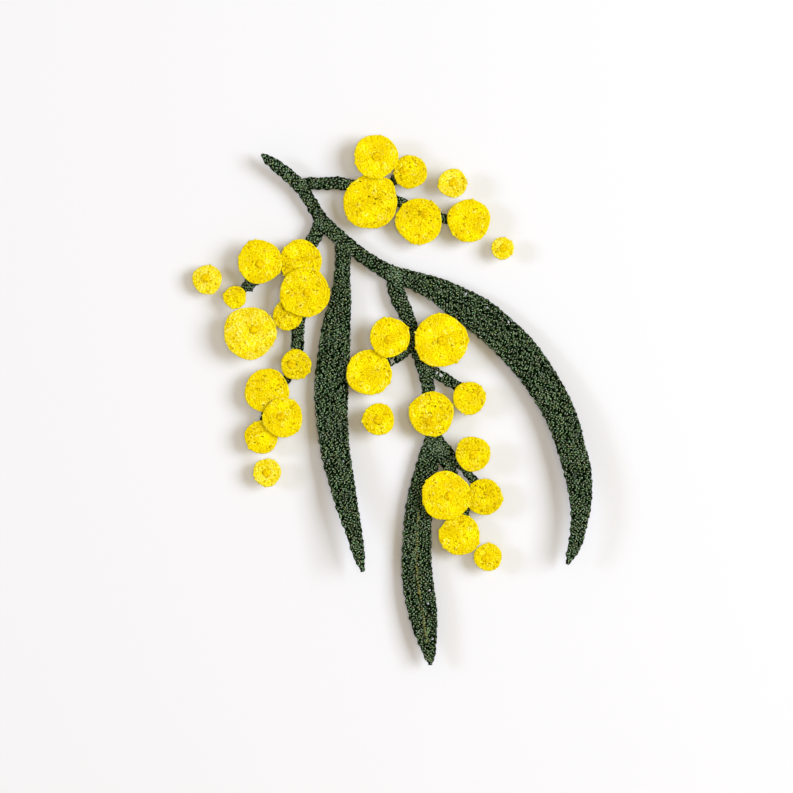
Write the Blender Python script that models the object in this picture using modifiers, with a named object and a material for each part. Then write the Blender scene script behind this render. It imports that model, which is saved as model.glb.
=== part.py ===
"""A mimosa sprig made of machine-stitched thread lace, held up on pins with round heads.

The green stem and its three leaves are one piece of lace. The flower heads are flat round discs
of yellow thread: the lower ones are stitched onto the green stalks, and each higher one sits on
a pin of its own. Metres, +Z up. The pins stand on z = 0, and the origin is under the middle.
"""
import math

import bmesh
import bpy
import numpy as np
from mathutils import Vector

# Scale and place of the flat layout
PIXEL = 0.0004
CENTRE_PX = (392.35, 400.15)
MM = 0.001
FINE_SAMPLES = 400

# Clearance between pieces that touch
GAP = 0.0003

# Green lace
LACE_LEVEL = 0.0042
LEAF_THICKNESS = 0.0014
STEM_THICKNESS = 0.0016
LACE_ROW = 0.0031
LACE_COLUMN = 0.0024
LACE_FULL_WIDTH = 0.0050
LACE_PEBBLE = 0.00018
LACE_RAGGED = 0.00035
MIDRIB_RISE = 0.00035
EDGE_BEAT = 0.6
FACE_BEAT = 0.7
DRIFT_PER_ROW = 1.7
DRIFT_PER_COLUMN = 2.3

# Yellow heads
HEAD_THICKNESS = 0.0014
HEAD_PEBBLE = 0.00024
HEAD_PEBBLE_SIZE = 0.0026
HEAD_RAGGED = 0.022
THREE_LOBES_TURN = 1.0
FIVE_LOBES = 0.7
FIVE_LOBES_TURN = 2.1
STITCH_LOBES = 0.9
BULGE = 0.16
BULGE_SPREAD = 0.28
HEAD_EDGE = 0.0004
LOWER_LEVEL = LACE_LEVEL + STEM_THICKNESS / 2 + LACE_PEBBLE + MIDRIB_RISE + GAP
UPPER_LEVEL = LOWER_LEVEL + HEAD_THICKNESS + HEAD_PEBBLE + GAP

# Pins: a wire with a low round cap, whose underside follows the conical seat in its flower head
PIN_RADIUS = 0.0003
PIN_SIDES = 10
HOLE_RADIUS = PIN_RADIUS + GAP
HOLE_DEPTH = 0.02
SEAT_RADIUS = 0.0021
SEAT_DEPTH = 0.0006
SEAT_SLOPE = math.atan2(SEAT_DEPTH, SEAT_RADIUS - HOLE_RADIUS)
CAP_RADIUS = 0.0016
CAP_EDGE = 0.0002
CAP_CROWN = 0.0003
CAP_SHOULDER = 0.62

# Tolerance for telling the rings of a turned disc apart
SAME = 0.0001

# Angles past which an edge stays sharp
LACE_SHARP = math.radians(50)
HEAD_SHARP = math.radians(40)
PIN_SHARP = math.radians(50)

# Colours
GREEN = (0.035, 0.060, 0.018, 1.0)
YELLOW = (0.880, 0.640, 0.012, 1.0)
PIN_YELLOW = (0.850, 0.520, 0.010, 1.0)

# Each row of a strip: pixel across, pixel down, width in mm, lift over the lace level in mm
MAIN_STEM = [
    (261.8, 154.8, 1.2, 2.9), (266.5, 158.5, 3.2, 2.7), (276, 165.5, 4.7, 2.2), (291, 177.5, 5.2, 1.3),
    (301, 187.5, 5.2, 0.8), (311, 202.5, 5.0, 0.3), (321, 219, 5.4, 0.0), (333, 232, 6.0, -0.1),
    (346, 243, 5.8, -0.1), (360, 254, 5.6, -0.1), (374, 263.5, 5.8, -0.1), (390, 273, 6.4, -0.1),
    (402, 279, 6.2, -0.1),
]
RIGHT_LEAF = [
    (388, 271, 5.4, -0.1), (403, 276.5, 6.6, -0.1), (418, 282, 7.9, -0.1), (437.5, 290, 10.0, 0.0),
    (459, 303, 13.0, 0.2), (479.5, 315.5, 14.2, 0.5), (500, 332.5, 14.2, 0.9), (516.5, 348.5, 14.5, 1.3),
    (531, 366, 13.9, 1.8), (545.5, 387.5, 13.3, 2.4), (556, 406, 12.8, 2.9), (565, 427.5, 12.2, 3.5),
    (570.5, 446.5, 11.3, 4.0), (576.5, 468, 11.2, 4.4), (579.3, 486, 10.0, 4.7), (580.2, 507, 8.2, 4.9),
    (578, 527, 6.4, 4.9), (574.6, 544, 5.4, 4.8), (570, 556, 3.6, 4.7), (566.8, 564, 1.2, 4.6),
]
LEFT_LEAF = [
    (342, 244, 5.6, -0.1), (342.8, 254, 6.0, -0.1), (342, 277, 6.4, -0.1), (340.7, 300, 8.4, -0.1),
    (336.7, 323, 11.0, -0.1), (334.5, 346, 12.4, -0.1), (332.4, 369, 13.2, 0.0), (331.3, 392, 13.6, 0.3),
    (331.5, 411, 12.8, 0.7), (333, 431, 12.2, 1.3), (336.2, 456.5, 11.5, 2.4), (341.8, 482, 10.2, 3.6),
    (347.6, 508, 8.6, 4.9), (354.3, 533, 6.4, 6.1), (359.4, 556, 4.5, 7.1), (363, 571, 1.4, 7.7),
]
LOW_LEAF = [
    (434.5, 434, 5.6, -0.1), (431, 449, 7.6, -0.1), (426, 472, 9.2, -0.1), (421, 496, 10.4, -0.1),
    (418, 518, 10.9, 0.0), (417, 540, 11.4, 0.2), (416.7, 561, 11.9, 0.4), (418, 583, 12.3, 0.7),
    (422, 608, 11.8, 1.2), (425.7, 632, 9.2, 1.7), (428.5, 648, 6.2, 2.0), (430, 659, 3.6, 2.2),
    (430.2, 665, 1.4, 2.3),
]
TOP_STALK = [
    (298, 184, 3.4, 0.8), (308, 183, 4.6, 0.5), (321, 183.5, 4.9, 0.1), (338, 182.8, 5.1, 0.0),
    (352, 185.5, 4.8, 0.0),
    (372, 191, 5.0, 0.0), (402, 203, 4.2, 0.0), (425, 213, 4.0, 0.0), (445, 218.5, 3.6, 0.0),
    (466, 221, 3.2, 0.0),
]
TOP_BRANCH = [
    (380, 193, 3.0, 0.0), (392, 182, 3.6, 0.0), (404, 171, 3.8, 0.0), (411, 167, 2.8, 0.0),
]
LEFT_STALK = [
    (322, 219, 5.0, 0.0), (316, 234, 5.6, 0.0), (308, 250, 5.2, 0.0), (305, 270, 4.8, 0.0),
    (306.5, 293, 5.0, 0.0), (299.5, 317, 4.8, 0.0), (297.6, 335, 5.0, 0.0), (297, 350, 5.0, 0.0),
    (292, 364, 4.6, 0.0), (287, 379, 3.4, 0.0), (271, 394, 3.4, 0.0), (265, 415, 3.2, 0.0),
    (262, 434, 3.0, 0.0),
]
LEFT_BRANCH = [
    (308, 254, 3.4, 0.0), (285, 260, 4.2, 0.0), (260, 265, 4.4, 0.0), (251, 277, 4.4, 0.0),
    (248.5, 291, 3.4, 0.0),
]
LEFT_SPUR = [
    (257, 281, 3.0, 0.0), (246, 286.5, 3.6, 0.0), (237, 294, 2.6, 0.0),
]
LEFT_TWIG = [
    (299, 320, 3.4, 0.0), (290, 318, 3.0, 0.0), (284, 314, 2.2, 0.0),
]
MIDDLE_STALK = [
    (393, 273, 6.0, 0.0), (398, 296, 6.7, 0.0), (405, 311, 6.0, 0.0), (411.5, 326.5, 5.0, 0.0),
    (415, 341, 5.2, 0.0), (422, 362, 5.8, 0.0), (426, 376, 5.4, 0.0), (428.5, 390, 5.2, 0.0),
    (429, 412, 5.2, 0.0), (431, 428, 5.4, 0.0), (436, 443, 7.0, 0.0), (438, 452, 6.0, 0.0),
]
MIDDLE_LEFT_TWIG = [
    (414, 343, 3.4, 0.0), (403, 354.5, 3.4, 0.0), (391, 361, 3.8, 0.0), (375, 369, 2.8, 0.0),
]
MIDDLE_RIGHT_TWIG = [
    (423, 365, 3.8, 0.0), (440, 375.5, 4.4, 0.0), (454, 384, 4.2, 0.0), (468, 393, 3.0, 0.0),
]
LOW_STALK = [
    (437, 441, 5.0, 0.0), (446, 450, 4.6, 0.0), (455, 459.5, 3.4, 0.0), (465, 470.5, 3.0, 0.0),
    (473, 479.5, 3.6, 0.0), (483, 492, 3.0, 0.0),
]
LOW_TWIG = [
    (438, 446, 5.6, 0.0), (444, 457, 6.0, 0.0), (450, 469, 4.8, 0.0), (458, 490, 4.0, 0.0),
    (465, 512, 3.6, 0.0), (462, 529, 2.8, 0.0),
]

LEAVES = {"right leaf": RIGHT_LEAF, "left leaf": LEFT_LEAF, "low leaf": LOW_LEAF}
STALKS = {
    "main stem": MAIN_STEM, "top stalk": TOP_STALK, "top branch": TOP_BRANCH,
    "left stalk": LEFT_STALK, "left branch": LEFT_BRANCH, "left spur": LEFT_SPUR,
    "left twig": LEFT_TWIG, "middle stalk": MIDDLE_STALK, "middle left twig": MIDDLE_LEFT_TWIG,
    "middle right twig": MIDDLE_RIGHT_TWIG, "low stalk": LOW_STALK, "low twig": LOW_TWIG,
}

# Each head: number, pixel across, pixel down, radius in mm, underside, pixel of its pin or None,
# and the heading in degrees of a bulge in its outline or None
HEADS = [
    (1, 376.0, 157.0, 8.8, UPPER_LEVEL, (376.5, 157.0), None),
    (2, 410.3, 172.0, 6.7, LOWER_LEVEL, (404.0, 171.0), None),
    (3, 370.0, 202.3, 10.8, LOWER_LEVEL, None, 45.0),
    (4, 452.5, 183.5, 5.8, 0.0070, (453.0, 183.0), None),
    (5, 419.0, 221.3, 9.3, LOWER_LEVEL, (425.0, 214.0), None),
    (6, 468.8, 220.6, 8.6, LOWER_LEVEL, None, None),
    (7, 502.5, 248.3, 4.5, 0.0052, (503.5, 248.0), None),
    (8, 260.0, 262.0, 8.8, UPPER_LEVEL, (260.0, 264.5), None),
    (9, 300.5, 261.0, 8.5, LOWER_LEVEL, None, None),
    (10, 305.0, 292.5, 10.0, UPPER_LEVEL, (307.8, 292.9), None),
    (11, 235.0, 297.3, 4.6, LOWER_LEVEL, None, None),
    (12, 207.0, 279.5, 5.9, 0.0042, (205.5, 278.0), None),
    (13, 250.0, 333.0, 10.5, UPPER_LEVEL, (254.0, 330.0), None),
    (14, 287.5, 315.5, 6.0, LOWER_LEVEL, None, None),
    (15, 296.0, 364.6, 6.1, LOWER_LEVEL, (291.9, 364.2), None),
    (16, 267.0, 391.0, 8.9, LOWER_LEVEL, None, None),
    (17, 283.0, 417.5, 8.0, UPPER_LEVEL, (281.0, 417.0), None),
    (18, 261.5, 437.0, 6.7, LOWER_LEVEL, None, None),
    (19, 267.0, 472.5, 5.6, 0.0052, (267.0, 473.0), None),
    (20, 389.7, 337.3, 8.0, UPPER_LEVEL, (388.6, 340.0), None),
    (21, 441.0, 340.7, 10.7, UPPER_LEVEL, (441.5, 341.0), None),
    (22, 369.0, 372.5, 9.1, LOWER_LEVEL, None, None),
    (23, 378.5, 419.3, 6.4, 0.0070, (378.0, 420.0), None),
    (24, 431.5, 414.0, 9.0, LOWER_LEVEL, (429.5, 421.0), None),
    (25, 469.3, 398.0, 6.6, LOWER_LEVEL, None, None),
    (26, 472.8, 453.8, 7.0, UPPER_LEVEL, (473.5, 454.5), None),
    (27, 446.0, 495.5, 9.8, UPPER_LEVEL, (448.6, 496.0), None),
    (28, 484.3, 497.0, 7.3, LOWER_LEVEL, None, None),
    (29, 459.6, 534.8, 8.2, LOWER_LEVEL, None, None),
    (30, 488.0, 557.0, 5.6, 0.0056, (486.5, 558.0), None),
]


def place(pixel_x, pixel_y):
    """A pixel of the flat layout, as metres from the origin."""
    return ((pixel_x - CENTRE_PX[0]) * PIXEL, (CENTRE_PX[1] - pixel_y) * PIXEL)


def start_scene():
    """Empty the scene and return a collection for the sprig and one for the cutters."""
    for item in list(bpy.data.objects):
        bpy.data.objects.remove(item, do_unlink=True)
    for group in list(bpy.data.collections):
        bpy.data.collections.remove(group)
    groups = []
    for name in ("mimosa_sprig", "cutters"):
        group = bpy.data.collections.new(name)
        bpy.context.scene.collection.children.link(group)
        groups.append(group)
    return groups


def make_material(name, colour, roughness, metallic=0.0):
    """A plain Principled material."""
    material = bpy.data.materials.new(name)
    material.use_nodes = True
    shader = material.node_tree.nodes["Principled BSDF"]
    shader.inputs["Base Color"].default_value = colour
    shader.inputs["Roughness"].default_value = roughness
    shader.inputs["Metallic"].default_value = metallic
    return material


def mesh_object(name, bm, group, material=None):
    """Turn a bmesh into an object in a collection."""
    mesh = bpy.data.meshes.new(name)
    bm.to_mesh(mesh)
    bm.free()
    item = bpy.data.objects.new(name, mesh)
    group.objects.link(item)
    if material:
        mesh.materials.append(material)
    return item


def apply_modifiers(item):
    """Replace an object's mesh by its evaluated one."""
    graph = bpy.context.evaluated_depsgraph_get()
    mesh = bpy.data.meshes.new_from_object(item.evaluated_get(graph), depsgraph=graph)
    item.modifiers.clear()
    item.data = mesh


def shade(item, sharp):
    """Smooth shading, sharp past an angle."""
    item.data.shade_smooth()
    item.data.set_sharp_from_angle(angle=sharp)


def smooth_route(rows, step):
    """Points, widths and heights at even steps along a smooth curve through the rows.

    Between two rows the curve is the cubic whose slope at each row points from the row before
    to the row after, so it passes through every row without a corner.
    """
    knots = np.array([(*place(x, y), w * MM, LACE_LEVEL + lift * MM) for x, y, w, lift in rows])
    chord = np.linalg.norm(np.diff(knots[:, :2], axis=0), axis=1)
    at = np.concatenate([[0.0], np.cumsum(chord)])
    slope = np.gradient(knots, at, axis=0)
    fine = np.linspace(0.0, at[-1], FINE_SAMPLES)
    cell = np.clip(np.searchsorted(at, fine, side="right") - 1, 0, len(at) - 2)
    span = chord[cell][:, None]
    t = ((fine - at[cell]) / chord[cell])[:, None]
    curve = (
        (2 * t**3 - 3 * t**2 + 1) * knots[cell]
        + (t**3 - 2 * t**2 + t) * span * slope[cell]
        + (3 * t**2 - 2 * t**3) * knots[cell + 1]
        + (t**3 - t**2) * span * slope[cell + 1]
    )
    run = np.concatenate([[0.0], np.cumsum(np.linalg.norm(np.diff(curve[:, :2], axis=0), axis=1))])
    count = max(3, round(run[-1] / step) + 1)
    even = np.linspace(0.0, run[-1], count)
    return np.stack([np.interp(even, run, curve[:, axis]) for axis in range(4)], axis=1)


def lace_strip(name, rows, thickness, leaf, turn, group):
    """A closed strip of lace along its rows.

    The sheet is a grid bent to the route. Its edge steps in and out and its face rises and
    falls by one pebble at every other row and column, less so where the strip is narrow. A
    leaf's middle column stands up as the midrib, and a stalk's as its round back. The sheet is
    split into triangles before it gets its thickness, so both faces are split alike.
    """
    route = smooth_route(rows, LACE_ROW)
    widest = route[:, 2].max()
    columns = max(2, 2 * round(widest / LACE_COLUMN / 2))
    count = len(route)
    heading = np.gradient(route[:, :2], axis=0)
    heading /= np.linalg.norm(heading, axis=1)[:, None]

    bm = bmesh.new()
    bmesh.ops.create_grid(bm, x_segments=columns, y_segments=count - 1, size=1.0)
    for vert in bm.verts:
        across = vert.co.x
        row = round((vert.co.y + 1) / 2 * (count - 1))
        column = round((across + 1) / 2 * columns)
        x, y, width, height = route[row]
        fade = min(1.0, width / LACE_FULL_WIDTH) ** 2
        beat = fade * math.cos(math.pi * (row + column))
        drift = fade * math.sin(DRIFT_PER_ROW * row + DRIFT_PER_COLUMN * column + turn)
        side = Vector((heading[row][1], -heading[row][0], 0.0))
        reach = across * width / 2
        at_edge = column in (0, columns)
        inside = 0 < row < count - 1
        if at_edge and inside:
            reach += math.copysign(LACE_RAGGED * (EDGE_BEAT * beat + (1 - EDGE_BEAT) * drift), across)
        rise = LACE_PEBBLE * (FACE_BEAT * beat + (1 - FACE_BEAT) * drift)
        if inside:
            rise += fade * MIDRIB_RISE * (1 - abs(across)) ** (3 if leaf else 1)
        vert.co = Vector((x, y, height + rise)) + side * reach
    bmesh.ops.triangulate(bm, faces=bm.faces[:])
    bmesh.ops.recalc_face_normals(bm, faces=bm.faces[:])
    item = mesh_object(name, bm, group)
    wall = item.modifiers.new("thickness", "SOLIDIFY")
    wall.thickness = thickness
    wall.offset = 0.0
    wall.use_even_offset = False
    apply_modifiers(item)
    return item


def green_lace(sprig, cutters, material):
    """The stem and its three leaves: strips joined into one body, with its pin holes."""
    strips = bpy.data.collections.new("lace strips")
    bpy.context.scene.collection.children.link(strips)
    for turn, (name, rows) in enumerate(STALKS.items()):
        if rows is not MAIN_STEM:
            lace_strip(name, rows, STEM_THICKNESS, False, turn, strips)
    for turn, (name, rows) in enumerate(LEAVES.items()):
        lace_strip(name, rows, LEAF_THICKNESS, True, turn, strips)
    lace = lace_strip("green_lace", MAIN_STEM, STEM_THICKNESS, False, 0, sprig)
    lace.data.materials.append(material)
    join = lace.modifiers.new("join", "BOOLEAN")
    join.operation = "UNION"
    join.operand_type = "COLLECTION"
    join.collection = strips
    apply_modifiers(lace)
    for item in list(strips.objects):
        bpy.data.objects.remove(item, do_unlink=True)
    bpy.data.collections.remove(strips)

    for number, _, _, _, _, pin, _ in HEADS:
        if pin and lace_holds(pin):
            cutter = pin_cutter(f"pin hole {number}", pin, cutters)
            cut = lace.modifiers.new(cutter.name, "BOOLEAN")
            cut.operation = "DIFFERENCE"
            cut.object = cutter
    shade(lace, LACE_SHARP)


def lace_holds(pin):
    """Whether a pin goes through a stalk: its pixel is within the stalk's width of its route."""
    spot = np.array(place(*pin))
    for rows in STALKS.values():
        route = smooth_route(rows, LACE_ROW / 3)
        reach = np.linalg.norm(route[:, :2] - spot, axis=1)
        nearest = int(reach.argmin())
        if reach[nearest] < route[nearest, 2] / 2:
            return True
    return False


def pin_cutter(name, pin, group):
    """A cylinder that makes a pin's hole through the lace."""
    bm = bmesh.new()
    bmesh.ops.create_cone(
        bm, cap_ends=True, segments=PIN_SIDES, radius1=HOLE_RADIUS, radius2=HOLE_RADIUS, depth=HOLE_DEPTH
    )
    item = mesh_object(name, bm, group)
    item.location = (*place(*pin), LACE_LEVEL)
    item.hide_render = True
    item.display_type = "WIRE"
    return item


def turned(name, profile, closed, sides, group):
    """A profile of (radius, height) points turned round Z into a closed body."""
    mesh = bpy.data.meshes.new(name)
    links = [(i, i + 1) for i in range(len(profile) - 1)]
    if closed:
        links.append((len(profile) - 1, 0))
    mesh.from_pydata([(r, 0.0, z) for r, z in profile], links, [])
    item = bpy.data.objects.new(name, mesh)
    group.objects.link(item)
    spin = item.modifiers.new("turn", "SCREW")
    spin.steps = sides
    spin.render_steps = sides
    spin.use_merge_vertices = True
    spin.merge_threshold = 0.00001
    apply_modifiers(item)
    return item


def head_profile(radius, rings, pinned):
    """Section of a head, from the middle of its top out over the rim to the underside."""
    top = HEAD_THICKNESS
    start = SEAT_RADIUS if pinned else 0.0
    edge = radius - HEAD_EDGE
    face = [(start + (edge - start) * i / rings, top) for i in range(rings + 1)]
    rim = [(radius, top / 2), (edge, 0.0)]
    if pinned:
        return face + rim + [(HOLE_RADIUS, 0.0), (HOLE_RADIUS, top - SEAT_DEPTH)]
    return face + rim + [(0.0, 0.0)]


def flower_head(number, pixel_x, pixel_y, radius_mm, underside, pin, bulge, group, material):
    """A disc of yellow thread, with a seat and a hole where its pin goes through.

    The turned disc's points are moved by formula: the outline wavers with the angle, and the
    top rises and falls by one pebble at every other ring and spoke.
    """
    radius = radius_mm * MM
    sides = 2 * round(math.pi * radius / HEAD_PEBBLE_SIZE)
    rings = max(1, round((radius - SEAT_RADIUS) / HEAD_PEBBLE_SIZE) + (0 if pin else 1))
    profile = head_profile(radius, rings, pin is not None)
    head = turned(f"head_{number:02d}", profile, pin is not None, sides, group)
    middle = Vector((*place(pixel_x, pixel_y), 0.0))
    axis = Vector((*place(*pin), 0.0)) - middle if pin else Vector()
    start = SEAT_RADIUS if pin else 0.0
    ring_step = (radius - HEAD_EDGE - start) / rings
    for vert in head.data.vertices:
        x, y, z = vert.co
        out = math.hypot(x, y)
        angle = math.atan2(y, x)
        share = out / radius
        waver = math.sin(3 * angle + THREE_LOBES_TURN * number)
        waver += FIVE_LOBES * math.sin(5 * angle + FIVE_LOBES_TURN * number)
        waver += STITCH_LOBES * math.cos(sides * angle / 2)
        grow = 1 + HEAD_RAGGED * waver * share**2
        if bulge is not None:
            off = math.remainder(angle - math.radians(bulge), math.tau)
            grow += BULGE * math.exp(-((off / BULGE_SPREAD) ** 2)) * share**2
        slide = axis * max(0.0, 1 - share)
        if z > HEAD_THICKNESS - SAME and out > start + SAME:
            ring = (out - start) / ring_step
            z += HEAD_PEBBLE * math.cos(math.pi * ring) * math.cos(sides * angle / 2)
        if pin and out < SEAT_RADIUS + SAME:
            slide = axis
        vert.co = Vector((x * grow, y * grow, z)) + slide
    head.location = (middle.x, middle.y, underside)
    head.data.materials.append(material)
    bm = bmesh.new()
    bm.from_mesh(head.data)
    bmesh.ops.triangulate(bm, faces=bm.faces[:])
    bmesh.ops.recalc_face_normals(bm, faces=bm.faces[:])
    bm.to_mesh(head.data)
    bm.free()
    shade(head, HEAD_SHARP)


def clear_of_seat(radius):
    """Height over a head's face of the line that keeps the gap to the cone of its seat."""
    return GAP / math.cos(SEAT_SLOPE) - (SEAT_RADIUS - radius) * math.tan(SEAT_SLOPE)


def capped_pin(number, pin, underside, group, material):
    """A pin from the crown of its cap down to its blunt end on z = 0: one turned profile."""
    face = underside + HEAD_THICKNESS
    low_edge = face + clear_of_seat(CAP_RADIUS)
    edge = low_edge + CAP_EDGE
    shoulder = edge + CAP_CROWN * (1 - CAP_SHOULDER**2)
    cap = [(0.0, edge + CAP_CROWN), (CAP_RADIUS * CAP_SHOULDER, shoulder), (CAP_RADIUS, edge)]
    cap += [(CAP_RADIUS, low_edge), (PIN_RADIUS, face + clear_of_seat(PIN_RADIUS))]
    profile = cap + [(PIN_RADIUS, 0.0), (0.0, 0.0)]
    item = turned(f"pin_{number:02d}", profile, False, PIN_SIDES, group)
    item.location = (*place(*pin), 0.0)
    item.data.materials.append(material)
    shade(item, PIN_SHARP)


def build():
    """Make every piece of the sprig."""
    sprig, cutters = start_scene()
    green = make_material("green thread", GREEN, 0.75)
    yellow = make_material("yellow thread", YELLOW, 0.7)
    pin_yellow = make_material("yellow pin", PIN_YELLOW, 0.35)
    green_lace(sprig, cutters, green)
    for number, x, y, radius, underside, pin, bulge in HEADS:
        flower_head(number, x, y, radius, underside, pin, bulge, sprig, yellow)
        if pin:
            capped_pin(number, pin, underside, sprig, pin_yellow)


build()
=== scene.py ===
# %% [markdown]
# # A stitched mimosa sprig
#
# The object is a mimosa sprig made of thread. A sewing machine runs over a cloth that dissolves in
# water, and once the cloth is washed out only the stitches are left: a green lace of stem and leaves,
# and flat yellow discs for the flower heads. Pins with low caps hold them a few millimetres off a board.
#
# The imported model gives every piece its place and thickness. This script gives them their thread.

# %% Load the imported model
import math

import bpy
import numpy as np
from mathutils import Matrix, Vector


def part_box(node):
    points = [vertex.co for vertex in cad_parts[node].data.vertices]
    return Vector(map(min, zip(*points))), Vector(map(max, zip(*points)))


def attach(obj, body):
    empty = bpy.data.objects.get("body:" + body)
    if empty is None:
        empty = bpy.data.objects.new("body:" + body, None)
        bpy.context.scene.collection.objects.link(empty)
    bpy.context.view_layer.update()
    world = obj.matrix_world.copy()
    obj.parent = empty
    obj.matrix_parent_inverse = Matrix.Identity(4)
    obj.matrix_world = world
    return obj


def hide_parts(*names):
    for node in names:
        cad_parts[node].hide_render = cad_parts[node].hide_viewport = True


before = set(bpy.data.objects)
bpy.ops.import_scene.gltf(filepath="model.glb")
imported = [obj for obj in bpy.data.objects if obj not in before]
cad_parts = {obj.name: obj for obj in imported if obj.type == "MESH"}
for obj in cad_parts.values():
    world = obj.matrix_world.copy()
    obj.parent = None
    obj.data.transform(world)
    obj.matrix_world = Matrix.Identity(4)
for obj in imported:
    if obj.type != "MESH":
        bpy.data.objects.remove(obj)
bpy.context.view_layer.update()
MM = 0.001

# %% [markdown]
# ## Camera
#
# The picture looks straight down on the sprig, so the camera hangs over it. Places are read off the
# picture in its own pixels, and each is 0.4 mm on the sprig. A wide lens close by would make the
# higher heads slide outwards, so this is a long lens far away, as for flat work. The scale is exact
# half way up the sprig.

# %% Camera over the sprig
PIXEL = 0.4 * MM
CENTRE_PX = (392.35, 400.15)
IMAGE_PX = 793
LENS_MM = 150.0
SENSOR_MM = 36.0
EXACT_LEVEL = 6 * MM
CLIP_END = 10.0


def place(pixel_x, pixel_y):
    """Metres from the origin: the offset from the layout's middle, times the size of a pixel."""
    return (pixel_x - CENTRE_PX[0]) * PIXEL, (CENTRE_PX[1] - pixel_y) * PIXEL


def add_object(name, data):
    """A new object for a camera, a lamp or a mesh, in the scene."""
    item = bpy.data.objects.new(name, data)
    bpy.context.scene.collection.objects.link(item)
    return item


lens = bpy.data.cameras.new("camera")
lens.lens = LENS_MM
lens.sensor_width = SENSOR_MM
lens.clip_end = CLIP_END
camera = add_object("camera", lens)
bpy.context.scene.camera = camera
eye_distance = IMAGE_PX * PIXEL * LENS_MM / SENSOR_MM
camera.location = (*place(IMAGE_PX / 2, IMAGE_PX / 2), EXACT_LEVEL + eye_distance)
print(f"the camera is {eye_distance:.3f} m over the sprig")

# %% [markdown]
# ## Board and light
#
# A white board fills the picture. The shadows tell where the light is. A large soft lamp on the right,
# half way up the sky, throws them to the left, and a weak one on the left adds a faint second shadow.
# The shadows are beige, so the light that fills them is warm. It comes from all round and from a lamp
# straight above, which throws no shadow that the camera sees. The two lamps at the sides are a little
# cool, so that all of it together makes the board white.

# %% Board, lamps and sky
BOARD_HALF = 3.0
BOARD_DROP = 0.1 * MM
BOARD_CORNERS = ((-1, -1), (1, -1), (1, 1), (-1, 1))
BOARD_FINISH = {"Base Color": (0.70, 0.70, 0.70, 1.0), "Roughness": 0.9, "Specular IOR Level": 0.1}
WARM = (1.0, 0.87, 0.66)
SKY_STRENGTH = 0.42
# name, direction from the sprig, distance and size in metres, power in watts, colour
LAMPS = [
    ("key lamp", (0.71, 0.12, 0.69), 2.4, 1.30, 66.5, (0.80, 0.87, 1.0)),
    ("left lamp", (-0.83, 0.135, 0.545), 2.4, 0.62, 21.0, (0.66, 0.74, 1.0)),
    ("top lamp", (0.05, 0.0, 1.0), 2.0, 0.6, 10.5, WARM),
]


def set_sockets(node, values):
    """Put values into a node's input sockets, by their names or numbers."""
    for socket, value in values.items():
        node.inputs[socket].default_value = value


def principled(name, values):
    """A new material and its Principled shader, with values in the shader's sockets."""
    material = bpy.data.materials.new(name)
    material.use_nodes = True
    shader = material.node_tree.nodes["Principled BSDF"]
    set_sockets(shader, values)
    return material, shader


def soft_lamp(name, towards, distance, size, power, colour):
    """A square lamp at a distance from the sprig along a direction, facing back at it."""
    lamp = bpy.data.lights.new(name, "AREA")
    lamp.size = size
    lamp.energy = power
    lamp.color = colour
    item = add_object(name, lamp)
    line = Vector(towards).normalized()
    item.location = line * distance
    item.rotation_euler = line.to_track_quat("Z", "Y").to_euler()


board, _ = principled("board", BOARD_FINISH)
board_mesh = bpy.data.meshes.new("board")
board_points = [(x * BOARD_HALF, y * BOARD_HALF, -BOARD_DROP) for x, y in BOARD_CORNERS]
board_mesh.from_pydata(board_points, [], [(0, 1, 2, 3)])
board_mesh.materials.append(board)
board_item = add_object("board", board_mesh)

for lamp_values in LAMPS:
    soft_lamp(*lamp_values)
sky = bpy.data.worlds.new("sky")
sky.use_nodes = True
set_sockets(sky.node_tree.nodes["Background"], {"Color": (*WARM, 1.0), "Strength": SKY_STRENGTH})
bpy.context.scene.world = sky
bpy.context.scene.view_settings.view_transform = "Standard"
print(f"a board, {len(LAMPS)} lamps and an even sky")

# %% [markdown]
# ## One stitch, made many times
#
# Machine thread is a twisted yarn about half a millimetre thick. Each stitch is a short arch: the
# thread comes up at one needle hole, lies over the work and goes down at the next. A stitch could be a
# curve with a round bevel, but there are tens of thousands of them. So each is a spindle of ten points
# and sixteen triangles, and all the stitches of a piece are worked out together as arrays.

# %% Stitches as arrays
PLY_PITCH = 0.55 * MM
RING_PLACES = (0.22, 0.78)
RING_ANGLES = np.radians([90.0, 180.0, 270.0, 360.0])
RING_PHASES = np.array([0.0, -0.25, -0.5, 0.25])
RING_POINTS = len(RING_ANGLES)
STITCH_POINTS = 2 * RING_POINTS + 2
LAST_TIP = STITCH_POINTS - 1
SPINDLE = []
for k in range(RING_POINTS):
    here, ahead = 1 + k, 1 + (k + 1) % RING_POINTS
    here_on, ahead_on = here + RING_POINTS, ahead + RING_POINTS
    SPINDLE += [(0, here, ahead), (LAST_TIP, ahead_on, here_on)]
    SPINDLE += [(ahead, here, here_on), (ahead, here_on, ahead_on)]
SPINDLE = np.array(SPINDLE)
# radius, height of the section by its width, brightness of the tips, rise of the arch, depth of the tips;
# tips darker than one are painted shade where the thread dips into the work
GREEN_YARN = (0.24 * MM, 1.0, 0.40, 0.20 * MM, 0.34 * MM)
GLINT_YARN = (0.18 * MM, 1.0, 0.60, 0.20 * MM, 0.34 * MM)
EDGE_YARN = (0.24 * MM, 1.0, 0.60, 0.20 * MM, 0.34 * MM)
YELLOW_YARN = (0.46 * MM, 0.50, 1.0, 0.12 * MM, 0.14 * MM)
RIM_YARN = (0.44 * MM, 0.6, 1.0, 0.05 * MM, 0.10 * MM)
SPECK_YARN = (0.17 * MM, 1.0, 1.0, 0.20 * MM, 0.34 * MM)
RING_YARN = (0.22 * MM, 0.7, 1.0, 0.02 * MM, 0.04 * MM)


def unit(rows):
    """Rows of vectors, each divided by its own length."""
    return rows / np.linalg.norm(rows, axis=-1, keepdims=True)


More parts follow.
